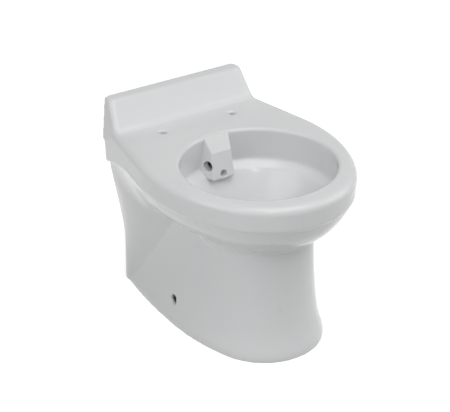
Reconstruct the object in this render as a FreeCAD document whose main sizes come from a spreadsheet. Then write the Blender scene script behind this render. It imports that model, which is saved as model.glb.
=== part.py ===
import FreeCAD, Part
import math
import os

import Sketcher
from FreeCAD import Placement, Rotation, Vector

# Back-to-wall toilet pan in glazed china with its hidden fixings and pipe connections.
# Millimetres, +Z up. The floor is z = 0, the front looks along -Y and the wall plane is at +Y.
# The origin is on the floor, in the middle of the width and of the depth.

os.makedirs("parts", exist_ok=True)
doc = FreeCAD.newDocument("back_to_wall_toilet")

# Driving sizes

SIZES = [
    ("pan_depth", 488, "wall plane to the front of the rim"),
    ("rim_width", 381, "widest place of the rim"),
    ("rim_height", 348, "floor to the top of the rim and deck"),
    ("deck_wall_width", 304, "width of the deck at the wall"),
    ("rim_widest", 240, "wall plane to the widest place of the rim"),
    ("rim_front_radius", 165, "plan radius of the front of the rim"),
    ("rim_edge", 14, "rounding of the outer top edge"),
    ("band_height", 49, "height of the band round the rim"),
    ("band_draft", 2.7, "how much the band narrows on each side over its height"),
    ("band_droop", 33, "how far the band comes down at the wall"),
    ("droop_start", 170, "wall plane to where the droop starts"),
    ("band_edge", 4, "rounding of the lower edge of the band"),
    ("upstand_rise", 54, "height of the upstand above the deck"),
    ("upstand_depth", 24, "depth of the upstand at its top"),
    ("upstand_foot", 57, "depth of the upstand where it meets the deck"),
    ("upstand_width", 293, "width of the upstand at its top, at the wall"),
    ("upstand_skirt", 32, "how far the upstand side hangs below the deck at the wall"),
    ("upstand_skirt_width", 307.4, "width of the upstand at that skirt, at the wall"),
    ("upstand_spread", 0.124, "how fast the upstand sides spread towards the front"),
    ("upstand_cove", 16, "radius of the hollow between upstand and deck"),
    ("upstand_corner", 12, "rounding of the front corners of the upstand"),
    ("upstand_edge", 8, "rounding of the top edge of the upstand"),
    ("tub_step", 4.5, "step in under the band"),
    ("belly_slope", 0.4, "slope of the underside next to the band"),
    ("belly_curve", 0.0042, "how fast the underside turns inwards further down"),
    ("keel_drop", 79, "band to where the underside meets the pedestal"),
    ("flare_start", 80, "height where the back edge starts to flare out"),
    ("flare_end", 310, "height where the flare ends"),
    ("flare_bulge", 0.11, "bulge of the flare for each millimetre of its length"),
    ("rear_bulge", 0.018, "bulge of the underside behind the crease for each millimetre"),
    ("crease_foot", 16, "wall plane to the pedestal crease at the floor"),
    ("crease_top", 190, "wall plane to the pedestal crease at the keel"),
    ("foot_side_radius", 1120, "plan radius of the pedestal between crease and widest place"),
    ("foot_width", 260, "widest place of the pedestal foot"),
    ("foot_depth", 432, "wall plane to the front of the foot"),
    ("foot_wall_width", 222, "width of the foot at the wall"),
    ("foot_widest", 214, "wall plane to the widest place of the foot"),
    ("foot_front_radius", 112, "plan radius of the front of the foot"),
    ("foot_lip", 14, "upright lip at the floor"),
    ("foot_reach", 65, "height over which the pedestal draws in"),
    ("column_waist", 21.7, "how much the pedestal draws in above the foot"),
    ("shell_wall", 10, "china thickness of the outer skin"),
    ("deck_thickness", 14, "china thickness of the deck and rim top"),
    ("bowl_wall", 11, "china thickness of the bowl"),
    ("opening_width", 286, "width of the bowl opening"),
    ("opening_length", 286, "length of the bowl opening"),
    ("opening_centre", 300, "wall plane to the middle of the opening"),
    ("opening_edge", 6, "rounding of the inner edge of the rim"),
    ("opening_draft", -6, "how much the upright bowl wall narrows to the ledge, less than 0 to widen"),
    ("ledge_drop", 66, "rim top to the flush ledge"),
    ("ledge_depth", 12, "height of the sloping ledge"),
    ("ledge_inset", 15, "how far the ledge comes in"),
    ("ledge_edge", 7, "rounding of both edges of the ledge"),
    ("bowl_fullness", 1.15, "1 gives a straight funnel, more gives a rounder sump"),
    ("trap_bore", 80, "bore of the trap"),
    ("trap_wall", 11, "china thickness of the trap"),
    ("trap_leg", 290, "wall plane to the falling leg of the trap"),
    ("trap_bend", 55, "bend radius on the middle line of the trap"),
    ("trap_low", 56, "floor to the lowest point of the middle line"),
    ("trap_rise_angle", 65, "rise of the second leg of the trap, in degrees"),
    ("outlet_height", 185, "floor to the middle of the outlet"),
    ("spigot_gap", 55, "wall plane to the end of the outlet spigot"),
    ("inlet_height", 290, "floor to the middle of the flush inlet"),
    ("inlet_bore", 55, "bore of the flush inlet"),
    ("inlet_wall", 8, "china thickness of the flush inlet"),
    ("inlet_gap", 62, "wall plane to the mouth of the flush inlet"),
    ("inlet_depth", 70, "depth of the wide part of the flush inlet"),
    ("flush_channel", 36, "bore from the flush inlet to the distributor"),
    ("seat_hole_spacing", 155, "spacing of the two seat hinge holes"),
    ("seat_hole_gap", 96, "wall plane to the seat hinge holes"),
    ("seat_hole", 14, "diameter of the seat hinge holes"),
    ("fixing_hole", 18, "diameter of the side fixing holes"),
    ("fixing_gap", 194, "wall plane to the side fixing holes"),
    ("fixing_height", 47, "floor to the side fixing holes"),
    ("hole_soften", 2, "softened mouth of the glazed holes"),
    ("block_top_gap", 158, "wall plane to the top edge of the distributor"),
    ("block_brow_gap", 177.5, "wall plane to the brow of the distributor"),
    ("block_brow_drop", 28.5, "rim top to the brow of the distributor"),
    ("block_foot_gap", 187.9, "wall plane to the foot of the distributor"),
    ("block_drop", 80, "rim top to the foot of the distributor"),
    ("block_sink", 1, "rim top to the top edge of the distributor"),
    ("block_top_back_width", 60, "width of the distributor top at the bowl wall"),
    ("block_top_front_width", 28, "width of the distributor top drawn on to its front"),
    ("block_foot_back_width", 72, "width of the distributor foot at the bowl wall"),
    ("block_foot_front_width", 47, "width of the distributor foot in front"),
    ("chamber_bore", 32, "bore of the chamber in the distributor"),
    ("block_edge", 2.5, "rounding of the distributor edges"),
    ("side_port", 20, "diameter of the two side ports"),
    ("side_port_drop", 55, "rim top to the side ports"),
    ("side_port_angle", 27, "how far the side ports look forward, in degrees"),
    ("front_port", 15, "diameter of the front port"),
    ("front_port_drop", 66, "rim top to the front port"),
    ("front_port_dip", 12, "how far the front port looks down, in degrees"),
    ("seal_flange", 70, "diameter of the inlet seal flange"),
    ("seal_flange_depth", 5, "thickness of the inlet seal flange"),
    ("seal_length", 38, "length of the inlet seal inside the china"),
    ("seal_lip", 3, "thickness of the seal lips"),
    ("seal_relief", 2.5, "depth of the hollow between the seal lips"),
    ("flush_pipe_size", 44, "outside diameter of the flush pipe"),
    ("flush_pipe_wall", 2, "wall of the flush pipe"),
    ("flush_pipe_depth", 55, "length of flush pipe past its stop collar"),
    ("collar_size", 56, "diameter of the stop collar"),
    ("collar_thickness", 4, "thickness of the stop collar"),
    ("soil_pipe_size", 110, "outside diameter of the outlet connector end"),
    ("soil_pipe_wall", 3, "wall of the outlet connector"),
    ("socket_length", 52, "depth of the outlet connector socket"),
    ("socket_size", 124, "inside diameter of the outlet connector socket"),
    ("socket_cone", 8, "length of the cone behind the socket"),
    ("outlet_seal_length", 40, "length of the outlet seal"),
    ("outlet_seal_wall", 4, "thickness of the outlet seal sleeve"),
    ("outlet_seal_fin", 3, "thickness of the outlet seal fins"),
    ("socket_stop", 4, "outlet spigot end to the back of the connector socket"),
    ("seat_gap", 0.02, "gap round seals and sleeves that sit still"),
    ("slide_gap", 0.3, "clearance between parts that slide past each other"),
    ("thread_gap", 0.05, "clearance of the fixing screws in their nuts"),
    ("bracket_thickness", 4, "steel of the floor brackets"),
    ("bracket_width", 50, "width of the floor brackets"),
    ("bracket_height", 68, "height of the floor brackets"),
    ("bracket_foot", 38, "length of the foot of the floor brackets"),
    ("bracket_inset", 26, "foot edge of the pan to the outside of the bracket"),
    ("bracket_bend", 5, "inside bend radius of the floor brackets"),
    ("floor_hole", 9, "diameter of the floor screw holes"),
    ("screw_size", 10, "diameter of the fixing screws"),
    ("screw_length", 36, "length of the fixing screws"),
    ("screw_socket", 5, "hexagon socket of the fixing screws, across flats"),
    ("screw_chamfer", 1, "chamfer of screw ends and ferrule tips"),
    ("nut_flats", 17, "weld nut across flats"),
    ("nut_thickness", 8, "thickness of the weld nuts"),
    ("ferrule_entry", 5, "how far the ferrules stand in the china"),
    ("ferrule_length", 12, "length of the locating ferrules"),
    ("ferrule_floor", 3, "thickness of the ferrule behind the screw end"),
]

sheet = doc.addObject("Spreadsheet::Sheet", "Sizes")
for row, (alias, number, meaning) in enumerate(SIZES, start=1):
    sheet.set(f"A{row}", meaning)
    sheet.set(f"B{row}", str(number))
    sheet.setAlias(f"B{row}", alias)
doc.recompute()

# Places that several pieces share, written as expressions over the sheet

WALL = "(Sizes.pan_depth / 2)"
SHOULDER = "(Sizes.rim_height - Sizes.band_height)"
BAND_FOOT = f"({SHOULDER} - Sizes.band_droop)"
KEEL = f"({SHOULDER} - Sizes.keel_drop)"
TRAP_TOP = "(Sizes.trap_low + Sizes.trap_bend)"
SPIGOT_END = f"({WALL} - Sizes.spigot_gap)"
INLET_MOUTH = f"({WALL} - Sizes.inlet_gap)"
FIXING_Y = f"({WALL} - Sizes.fixing_gap)"
SKIN_DRAW = (
    "(Sizes.column_waist * (1 - exp(-(Sizes.fixing_height - Sizes.foot_lip)"
    " / Sizes.foot_reach)))"
)
SKIN_OUT = f"(Sizes.foot_width / 2 - {SKIN_DRAW})"
SKIN_IN = f"({SKIN_OUT} - Sizes.shell_wall)"
BRACKET_OUT = "(Sizes.foot_width / 2 - Sizes.shell_wall - Sizes.bracket_inset)"
BRACKET_IN = f"({BRACKET_OUT} - Sizes.bracket_thickness)"

SIDE_VIEW = Rotation(Vector(1, 1, 1), 120)
OVERRUN = 20


def number(text):
    """The value of an expression over the sheet."""
    return float(sheet.evalExpression(text))


def bind(thing, places):
    """Bind each named property of a document object to its expression."""
    for place, text in places.items():
        thing.setExpression(place, text)


def dimension(sketch, kind, places, text):
    """Add one dimension to a sketch and bind it to an expression."""
    index = sketch.addConstraint(Sketcher.Constraint(kind, *places, number(text)))
    sketch.setExpression(f"Constraints[{index}]", text)


def place_point(sketch, curve, end, across, along):
    """Dimension one end of a curve from the sketch origin, in both directions."""
    for kind, axis, text in (("DistanceX", -2, across), ("DistanceY", -1, along)):
        amount = number(text)
        if abs(amount) < 1e-9:
            sketch.addConstraint(Sketcher.Constraint("PointOnObject", curve, end, axis))
        elif amount > 0:
            dimension(sketch, kind, (-1, 1, curve, end), text)
        else:
            dimension(sketch, kind, (curve, end, -1, 1), f"-({text})")


def polygon(sketch, corners):
    """Draw a closed polygon whose corners are pairs of expressions."""
    spots = [Vector(number(across), number(along), 0) for across, along in corners]
    lines = []
    for here, there in zip(spots, spots[1:] + spots[:1]):
        lines.append(sketch.addGeometry(Part.LineSegment(here, there), False))
    for line, following in zip(lines, lines[1:] + lines[:1]):
        sketch.addConstraint(Sketcher.Constraint("Coincident", line, 2, following, 1))
    for line, (across, along) in zip(lines, corners):
        place_point(sketch, line, 1, across, along)


def side_sketch(name):
    """A sketch in the middle plane: its x runs towards the wall, its y runs up."""
    sketch = doc.addObject("Sketcher::SketchObject", name)
    sketch.Placement = Placement(Vector(), SIDE_VIEW)
    return sketch


def plan_outline(name, height, wall_half, half, widest, length, front_radius, over=0):
    """One plan section: wall line, two straight sides, two side arcs and a front arc.

    The sides start at the wall (plus any overrun) and run tangent into the side arcs, which
    are widest at the stated distance from the wall and run tangent into the front arc.
    """
    sketch = doc.addObject("Sketcher::SketchObject", name)
    bind(sketch, {"Placement.Base.z": height})
    back = f"({WALL} + {over})"
    reach = f"(({length}) - ({front_radius}) - ({widest}))"
    side_radius = (
        f"((({half})^2 + {reach}^2 - ({front_radius})^2)"
        f" / (2 * (({half}) - ({front_radius}))))"
    )
    wall_x = number(wall_half)
    back_y = number(back)
    radius = number(side_radius)
    centre = Vector(number(half) - radius, number(WALL) - number(widest), 0)
    nose = number(front_radius)
    nose_centre = Vector(0, centre.y - number(reach), 0)
    turn = math.atan2(nose_centre.y - centre.y, -centre.x)
    away = Vector(wall_x, back_y, 0) - centre
    touch = math.atan2(away.y, away.x) - math.acos(radius / away.Length)
    touch_point = centre + Vector(math.cos(touch), math.sin(touch), 0) * radius
    mirror_centre = Vector(-centre.x, centre.y, 0)
    mirror_touch = Vector(-touch_point.x, touch_point.y, 0)
    up = Vector(0, 0, 1)
    wall_left = Vector(-wall_x, back_y, 0)
    wall_right = Vector(wall_x, back_y, 0)
    sketch.addGeometry(Part.LineSegment(wall_left, wall_right), False)
    sketch.addGeometry(Part.LineSegment(wall_right, touch_point), False)
    sketch.addGeometry(Part.ArcOfCircle(Part.Circle(centre, up, radius), turn, touch), False)
    front = Part.Circle(nose_centre, up, nose)
    sketch.addGeometry(Part.ArcOfCircle(front, math.pi - turn, 2 * math.pi + turn), False)
    left = Part.Circle(mirror_centre, up, radius)
    sketch.addGeometry(Part.ArcOfCircle(left, math.pi - touch, math.pi - turn), False)
    sketch.addGeometry(Part.LineSegment(mirror_touch, wall_left), False)
    for places in ((0, 2, 1, 1), (0, 1, 5, 2)):
        sketch.addConstraint(Sketcher.Constraint("Coincident", *places))
    for places in ((1, 2, 2, 2), (2, 1, 3, 2), (3, 1, 4, 2), (4, 1, 5, 1)):
        sketch.addConstraint(Sketcher.Constraint("Tangent", *places))
    sketch.addConstraint(Sketcher.Constraint("Symmetric", 0, 1, 0, 2, -2))
    sketch.addConstraint(Sketcher.Constraint("Symmetric", 2, 3, 4, 3, -2))
    sketch.addConstraint(Sketcher.Constraint("PointOnObject", 3, 3, -2))
    dimension(sketch, "DistanceX", (-1, 1, 0, 2), wall_half)
    dimension(sketch, "DistanceY", (-1, 1, 0, 2), back)
    dimension(sketch, "DistanceY", (2, 3, 0, 2), f"({widest}) + {over}")
    dimension(sketch, "Radius", (2,), side_radius)
    dimension(sketch, "DistanceY", (3, 3, 0, 2), f"({length}) - ({front_radius}) + {over}")
    dimension(sketch, "Radius", (3,), front_radius)
    return sketch


def loft(name, sections, ruled=False):
    """A solid through plan sections, smooth unless it is asked to be ruled."""
    made = doc.addObject("Part::Loft", name)
    made.Sections = sections
    made.Solid = True
    made.Ruled = ruled
    return made


def slab(name, sketch, width):
    """A side sketch drawn out evenly to both sides."""
    made = doc.addObject("Part::Extrusion", name)
    made.Base = sketch
    made.DirMode = "Normal"
    made.Solid = True
    made.Symmetric = True
    bind(made, {"LengthFwd": width})
    return made


def joined(name, pieces):
    """One solid from several that overlap."""
    made = doc.addObject("Part::MultiFuse", name)
    made.Shapes = pieces
    return made


def less(name, base, tool):
    """The base with the tool cut away."""
    made = doc.addObject("Part::Cut", name)
    made.Base = base
    made.Tool = tool
    return made


def shared(name, pieces):
    """What several solids have in common."""
    made = doc.addObject("Part::MultiCommon", name)
    made.Shapes = pieces
    return made


def rounded(name, base, wanted, radius):
    """The base with the wanted edges rounded; wanted takes an edge and says yes or no."""
    doc.recompute()
    edges = [index for index, edge in enumerate(base.Shape.Edges, start=1) if wanted(edge)]
    made = doc.addObject("Part::Fillet", name)
    made.Base = base
    made.Edges = [(index, radius, radius) for index in edges]
    return made


def rod(name, diameter, length, turn, places):
    """A cylinder turned from upright and placed by expressions."""
    made = doc.addObject("Part::Cylinder", name)
    made.Placement = Placement(Vector(), turn)
    bind(made, {"Radius": f"({diameter}) / 2", "Height": length})
    bind(made, {f"Placement.Base.{axis}": text for axis, text in places.items()})
    return made


ALONG_X = Rotation(Vector(0, 1, 0), 90)
TO_WALL = Rotation(Vector(1, 0, 0), -90)

# Rim band with its deck

RIM_HALF = "Sizes.rim_width / 2"
DECK_HALF = "Sizes.deck_wall_width / 2"
BAND_LEAN = "(Sizes.band_draft * (Sizes.band_height + Sizes.band_droop) / Sizes.band_height)"


def rim_section(name, height, inset, over=0):
    """The rim outline, drawn in all round by an inset."""
    return plan_outline(
        name,
        height,
        f"{DECK_HALF} - {inset}",
        f"{RIM_HALF} - {inset}",
        "Sizes.rim_widest",
        f"Sizes.pan_depth - {inset}",
        f"Sizes.rim_front_radius - {inset}",
        over,
    )


rim_top = rim_section("rim_top_outline", "Sizes.rim_height", "0")
rim_foot = rim_section("rim_foot_outline", BAND_FOOT, BAND_LEAN)
rim_block = loft("rim_block", [rim_foot, rim_top], ruled=True)


def under_band_sketch():
    """The space under the band: level in front, dropping in an arc to the wall."""
    sketch = side_sketch("under_band_profile")
    front = -number(WALL) - OVERRUN
    back = number(WALL) + OVERRUN
    low = number(BAND_FOOT) - OVERRUN
    level = number(SHOULDER)
    start = number(WALL) - number("Sizes.droop_start")
    radius_text = (
        "((Sizes.droop_start^2 + Sizes.band_droop^2) / (2 * Sizes.band_droop))"
    )
    radius = number(radius_text)
    drop = radius - math.sqrt(radius ** 2 - (back - start) ** 2)
    arc_end = math.asin((back - start) / radius)
    circle = Part.Circle(Vector(start, level - radius, 0), Vector(0, 0, 1), radius)
    sketch.addGeometry(Part.LineSegment(Vector(front, level, 0), Vector(start, level, 0)), False)
    arc = Part.ArcOfCircle(circle, math.pi / 2 - arc_end, math.pi / 2)
    sketch.addGeometry(arc, False)
    corner = Vector(back, level - drop, 0)
    sketch.addGeometry(Part.LineSegment(corner, Vector(back, low, 0)), False)
    sketch.addGeometry(Part.LineSegment(Vector(back, low, 0), Vector(front, low, 0)), False)
    sketch.addGeometry(Part.LineSegment(Vector(front, low, 0), Vector(front, level, 0)), False)
    sketch.addConstraint(Sketcher.Constraint("Tangent", 0, 2, 1, 2))
    for places in ((1, 1, 2, 1), (2, 2, 3, 1), (3, 2, 4, 1), (4, 2, 0, 1)):
        sketch.addConstraint(Sketcher.Constraint("Coincident", *places))
    for line in (0, 3):
        sketch.addConstraint(Sketcher.Constraint("Horizontal", line))
    for line in (2, 4):
        sketch.addConstraint(Sketcher.Constraint("Vertical", line))
    dimension(sketch, "DistanceY", (-1, 1, 0, 2), SHOULDER)
    place_along = f"{WALL} - Sizes.droop_start"
    dimension(sketch, "DistanceX", (-1, 1, 0, 2), place_along)
    dimension(sketch, "Radius", (1,), radius_text)
    dimension(sketch, "DistanceX", (-1, 1, 2, 2), f"{WALL} + {OVERRUN}")
    dimension(sketch, "DistanceX", (4, 2, -1, 1), f"{WALL} + {OVERRUN}")
    dimension(sketch, "DistanceY", (-1, 1, 3, 2), f"{BAND_FOOT} - {OVERRUN}")
    return sketch


under_band = slab("under_band", under_band_sketch(), f"Sizes.rim_width + {2 * OVERRUN}")
band_sharp = less("band_sharp", rim_block, under_band)


def outer_edge_at_top(edge):
    """The edge round the top of the rim, without its stretch at the wall."""
    level = abs(edge.BoundBox.ZMin - number("Sizes.rim_height")) < 0.01
    return level and edge.BoundBox.YMin < number(WALL) - 1


def outer_edge_below(edge):
    """The lower edge round the band, without its stretches at the wall or across."""
    box = edge.BoundBox
    low = box.ZMax < number(SHOULDER) + 0.01
    across = box.XMin < -1 and box.XMax > 1 and box.YMax > 0
    return low and not across and box.YMin < number(WALL) - 1


band_topped = rounded("band_topped", band_sharp, outer_edge_at_top, number("Sizes.rim_edge"))
band = rounded("band", band_topped, outer_edge_below, number("Sizes.band_edge"))

# Pedestal with the flare at its back, and the underside of the bowl above it

BACK_FLARE = (
    "((({z}) <= Sizes.flare_start) ? 0 : ((({z}) >= Sizes.flare_end) ? 1 :"
    " (3 - 2 * (({z}) - Sizes.flare_start) / (Sizes.flare_end - Sizes.flare_start))"
    " * ((({z}) - Sizes.flare_start) / (Sizes.flare_end - Sizes.flare_start))^2))"
)


def creased_outline(name, height, wall_half, crease, bulge, half, widest, length, nose, over=0):
    """One plan section of the pedestal or the underside, with a crease on each side.

    From the wall a bulging arc runs forward to the crease, then a flat arc to the widest place,
    a side arc and a front arc. The crease is a pair of expressions: half width and distance
    from the wall. All three arcs ahead of the crease run tangent into each other.
    """
    sketch = doc.addObject("Sketcher::SketchObject", name)
    bind(sketch, {"Placement.Base.z": height})
    crease_half, crease_gap = crease
    back = f"({WALL} + {over})"
    reach = f"(({length}) - ({nose}) - ({widest}))"
    side_radius = (
        f"((({half})^2 + {reach}^2 - ({nose})^2) / (2 * (({half}) - ({nose}))))"
    )
    slack = f"({side_radius} - ({nose}))"
    meet_half = f"(({nose}) * ({side_radius} - ({half})) / {slack})"
    meet_y = f"({WALL} - (({length}) - ({nose})) - ({nose}) * {reach} / {slack})"
    chord = f"((({wall_half}) - ({crease_half}))^2 + (({crease_gap}) + {over})^2)"
    bulge_radius = f"(({chord} / 4 + ({bulge})^2) / (2 * ({bulge})))"
    rear_in = f"(({half}) - ({crease_half}))"
    rear_long = f"(({widest}) - ({crease_gap}))"
    rear_radius = f"(({rear_in}^2 + {rear_long}^2) / (2 * {rear_in}))"
    right = [
        (wall_half, back),
        (crease_half, f"{WALL} - ({crease_gap})"),
        (half, f"{WALL} - ({widest})"),
        (meet_half, meet_y),
    ]
    corners = right + [(f"-({across})", along) for across, along in reversed(right)]
    radii = [bulge_radius, rear_radius, side_radius, nose]
    radii += [side_radius, rear_radius, bulge_radius, None]
    arc_chain(sketch, corners, radii)
    return sketch


def arc_chain(sketch, corners, radii):
    """Draw a closed chain that turns to the right: arcs of given radius, or straight for None."""
    spots = [Vector(number(across), number(along), 0) for across, along in corners]
    ends = []
    for start, end, radius in zip(spots, spots[1:] + spots[:1], radii):
        if radius is None:
            line = sketch.addGeometry(Part.LineSegment(start, end), False)
            ends.append((line, 1, 2))
            continue
        size = number(radius)
        chord = end - start
        middle = (start + end) / 2
        inward = Vector(chord.y, -chord.x, 0).normalize()
        centre = middle + inward * math.sqrt(max(size ** 2 - chord.Length ** 2 / 4, 0))
        first = math.atan2(end.y - centre.y, end.x - centre.x)
        last = math.atan2(start.y - centre.y, start.x - centre.x)
        if last < first:
            last += 2 * math.pi
        circle = Part.Circle(centre, Vector(0, 0, 1), size)
        arc = sketch.addGeometry(Part.ArcOfCircle(circle, first, last), False)
        ends.append((arc, 2, 1))
    for (curve, _, tail), (following, head, _) in zip(ends, ends[1:] + ends[:1]):
        sketch.addConstraint(Sketcher.Constraint("Coincident", curve, tail, following, head))
    for (curve, head, _), (across, along) in zip(ends, corners):
        place_point(sketch, curve, head, across, along)
    for (curve, _, _), radius in zip(ends, radii):
        if radius is not None:
            dimension(sketch, "Radius", (curve,), radius)


def wall_half_at(height):
    """Half width of the back edge: upright near the floor, flaring out to the band."""
    edge = f"({DECK_HALF} - {BAND_LEAN} - Sizes.tub_step)"
    foot = "(Sizes.foot_wall_width / 2)"
    return f"({foot} + ({edge} - {foot}) * {BACK_FLARE.format(z=height)})"


def column(name, inset, low, over=0):
    """The pedestal up to the keel, drawn in all round by an inset."""
    steps = [low, "Sizes.foot_lip"]
    for part in (0.12, 0.25, 0.4, 0.55, 0.7, 0.85, 1):
        steps.append(f"Sizes.foot_lip + ({KEEL} - Sizes.foot_lip) * {part}")
    sections = []
    for order, height in enumerate(steps):
        climb = f"(max(({height}) - Sizes.foot_lip; 0) / Sizes.foot_reach)"
        draw = f"(Sizes.column_waist * (1 - exp(-{climb})))"
        share = f"(max({height}; 0) / {KEEL})"
        crease_gap = f"(Sizes.crease_foot + (Sizes.crease_top - Sizes.crease_foot) * {share})"
        behind = f"(Sizes.foot_widest - {crease_gap})"
        crease_half = (
            f"(Sizes.foot_width / 2 - {draw}"
            f" - {behind}^2 / (2 * Sizes.foot_side_radius) - {inset})"
        )
        section = creased_outline(
            f"{name}_outline_{order}",
            height,
            f"{wall_half_at(height)} - {inset}",
            (crease_half, crease_gap),
            f"Sizes.flare_bulge * {crease_gap}",
            f"Sizes.foot_width / 2 - {draw} - {inset}",
            "Sizes.foot_widest",
            f"Sizes.foot_depth - {draw} - {inset}",
            f"Sizes.foot_front_radius - {draw} - {inset}",
            over,
        )
        sections.append(section)
    return loft(name, sections), sections[-1]


def belly(name, keel_section, inset, over=0):
    """The underside from the keel out to the band, drawn in all round by an inset."""
    sections = [keel_section]
    for order, part in enumerate((0.45, 1)):
        height = f"({KEEL} + Sizes.keel_drop * {part} + Sizes.band_edge * {part})"
        drop = f"(Sizes.keel_drop * (1 - {part}))"
        draw = f"(Sizes.tub_step + Sizes.belly_slope * {drop} + Sizes.belly_curve * {drop}^2)"
        widest = f"(Sizes.foot_widest + (Sizes.rim_widest - Sizes.foot_widest) * {part})"
        half = f"({RIM_HALF} - {draw} - {inset})"
        behind = f"({widest} - Sizes.crease_top)"
        sections.append(
            creased_outline(
                f"{name}_outline_{order}",
                height,
                f"{wall_half_at(height)} - {inset}",
                (f"({half} - {behind}^2 / (2 * Sizes.foot_side_radius))", "Sizes.crease_top"),
                "Sizes.rear_bulge * Sizes.crease_top",
                half,
                widest,
                f"Sizes.pan_depth - {draw} - {inset}",
                f"Sizes.rim_front_radius - {draw} - {inset}",
                over,
            )
        )
    return loft(name, sections)


column_outside, keel_outline = column("column_outside", "0", "0")
belly_outside = belly("belly_outside", keel_outline, "0")

# Upstand at the wall


def upstand_sketch():
    """Side view of the upstand, with the hollow where it meets the deck."""
    sketch = side_sketch("upstand_profile")
    wall = number(WALL)
    deck = number("Sizes.rim_height")
    top = deck + number("Sizes.upstand_rise")
    skirt = deck - number("Sizes.upstand_skirt")
    cove = number("Sizes.upstand_cove")
    sink = 0.1
    face_top = Vector(wall - number("Sizes.upstand_depth"), top, 0)
    face_foot = Vector(wall - number("Sizes.upstand_foot"), deck, 0)
    down = (face_foot - face_top).normalize()
    tilt = math.atan2(-down.y, -down.x)
    centre_y = deck - sink + cove
    rise = cove * math.cos(tilt)
    touch_y = centre_y - rise
    along = (touch_y - face_top.y) / down.y
    touch = face_top + down * along
    centre = touch + Vector(-math.sin(tilt), math.cos(tilt), 0) * cove
    foot = Vector(centre.x, deck - sink, 0)
    strip = Vector(foot.x - number("Sizes.upstand_cove"), foot.y, 0)
    strip_foot = Vector(strip.x, deck - number("Sizes.rim_edge"), 0)
    skirt_foot = Vector(wall, skirt, 0)
    wall_top = Vector(wall, top, 0)
    sketch.addGeometry(Part.LineSegment(skirt_foot, wall_top), False)
    sketch.addGeometry(Part.LineSegment(wall_top, face_top), False)
    sketch.addGeometry(Part.LineSegment(face_top, touch), False)
    circle = Part.Circle(centre, Vector(0, 0, 1), cove)
    sketch.addGeometry(Part.ArcOfCircle(circle, 1.5 * math.pi, 1.5 * math.pi + tilt), False)
    sketch.addGeometry(Part.LineSegment(foot, strip), False)
    sketch.addGeometry(Part.LineSegment(strip, strip_foot), False)
    sketch.addGeometry(Part.LineSegment(strip_foot, skirt_foot), False)
    for places in ((0, 2, 1, 1), (1, 2, 2, 1), (4, 2, 5, 1), (5, 2, 6, 1), (6, 2, 0, 1)):
        sketch.addConstraint(Sketcher.Constraint("Coincident", *places))
    sketch.addConstraint(Sketcher.Constraint("Tangent", 2, 2, 3, 2))
    sketch.addConstraint(Sketcher.Constraint("Tangent", 3, 1, 4, 1))
    for line in (0, 5):
        sketch.addConstraint(Sketcher.Constraint("Vertical", line))
    for line in (1, 4):
        sketch.addConstraint(Sketcher.Constraint("Horizontal", line))
    dimension(sketch, "DistanceX", (-1, 1, 0, 2), WALL)
    dimension(sketch, "DistanceY", (-1, 1, 0, 2), "Sizes.rim_height + Sizes.upstand_rise")
    dimension(sketch, "DistanceY", (-1, 1, 0, 1), "Sizes.rim_height - Sizes.upstand_skirt")
    dimension(sketch, "DistanceX", (2, 1, 0, 2), "Sizes.upstand_depth")
    lean = "atan(Sizes.upstand_rise / (Sizes.upstand_foot - Sizes.upstand_depth))"
    index = sketch.addConstraint(Sketcher.Constraint("Angle", -1, 1, 2, 2, tilt))
    sketch.setExpression(f"Constraints[{index}]", lean)
    dimension(sketch, "Radius", (3,), "Sizes.upstand_cove")
    dimension(sketch, "DistanceY", (-1, 1, 3, 1), f"Sizes.rim_height - {sink}")
    dimension(sketch, "DistanceX", (4, 2, 4, 1), "Sizes.upstand_cove")
    dimension(sketch, "DistanceY", (-1, 1, 5, 2), "Sizes.rim_height - Sizes.rim_edge")
    return sketch


def upstand_plan(name, height, wall_half, inset, over=0):
    """Plan section of the upstand: sides that spread towards the front."""
    sketch = doc.addObject("Sketcher::SketchObject", name)
    bind(sketch, {"Placement.Base.z": height})
    reach = "(Sizes.upstand_foot + 4 * Sizes.upstand_cove)"
    front_half = f"({wall_half} + Sizes.upstand_spread * {reach} - {inset})"
    back_half = f"({wall_half} - {inset})"
    back = f"{WALL} + {over}"
    front = f"{WALL} - {reach}"
    polygon(
        sketch,
        [
            (f"-{back_half}", back),
            (back_half, back),
            (front_half, front),
            (f"-{front_half}", front),
        ],
    )
    return sketch


upstand_slab = slab("upstand_slab", upstand_sketch(), f"Sizes.rim_width + {OVERRUN}")
upstand_foot = upstand_plan(
    "upstand_foot_plan",
    "Sizes.rim_height - Sizes.upstand_skirt",
    "Sizes.upstand_skirt_width / 2",
    "0",
)
upstand_top = upstand_plan(
    "upstand_top_plan",
    "Sizes.rim_height + Sizes.upstand_rise",
    "Sizes.upstand_width / 2",
    "0",
)
upstand_sides = loft("upstand_sides", [upstand_foot, upstand_top], ruled=True)
upstand_sharp = shared("upstand_sharp", [upstand_slab, upstand_sides])


def upstand_corners(edge):
    """The two front corners of the upstand, from its top down its sloping face."""
    box = edge.BoundBox
    top = number("Sizes.rim_height + Sizes.upstand_rise")
    return box.ZMax > top - 0.01 and box.ZMin < top - 5 and box.YMax < number(WALL) - 1


def upstand_top_edges(edge):
    """The edge round the top of the upstand, without its stretch at the wall."""
    box = edge.BoundBox
    top = number("Sizes.rim_height + Sizes.upstand_rise")
    return box.ZMin > top - 0.01 and box.YMin < number(WALL) - 1


upstand_cornered = rounded(
    "upstand_cornered", upstand_sharp, upstand_corners, number("Sizes.upstand_corner")
)
upstand = rounded("upstand", upstand_cornered, upstand_top_edges, number("Sizes.upstand_edge"))
outside = joined("outside", [band, belly_outside, column_outside, upstand])

# Hollow of the casting, open to the floor and to the wall

SHELL = "Sizes.shell_wall"
DECK_UNDERSIDE = "(Sizes.rim_height - Sizes.deck_thickness)"

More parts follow.
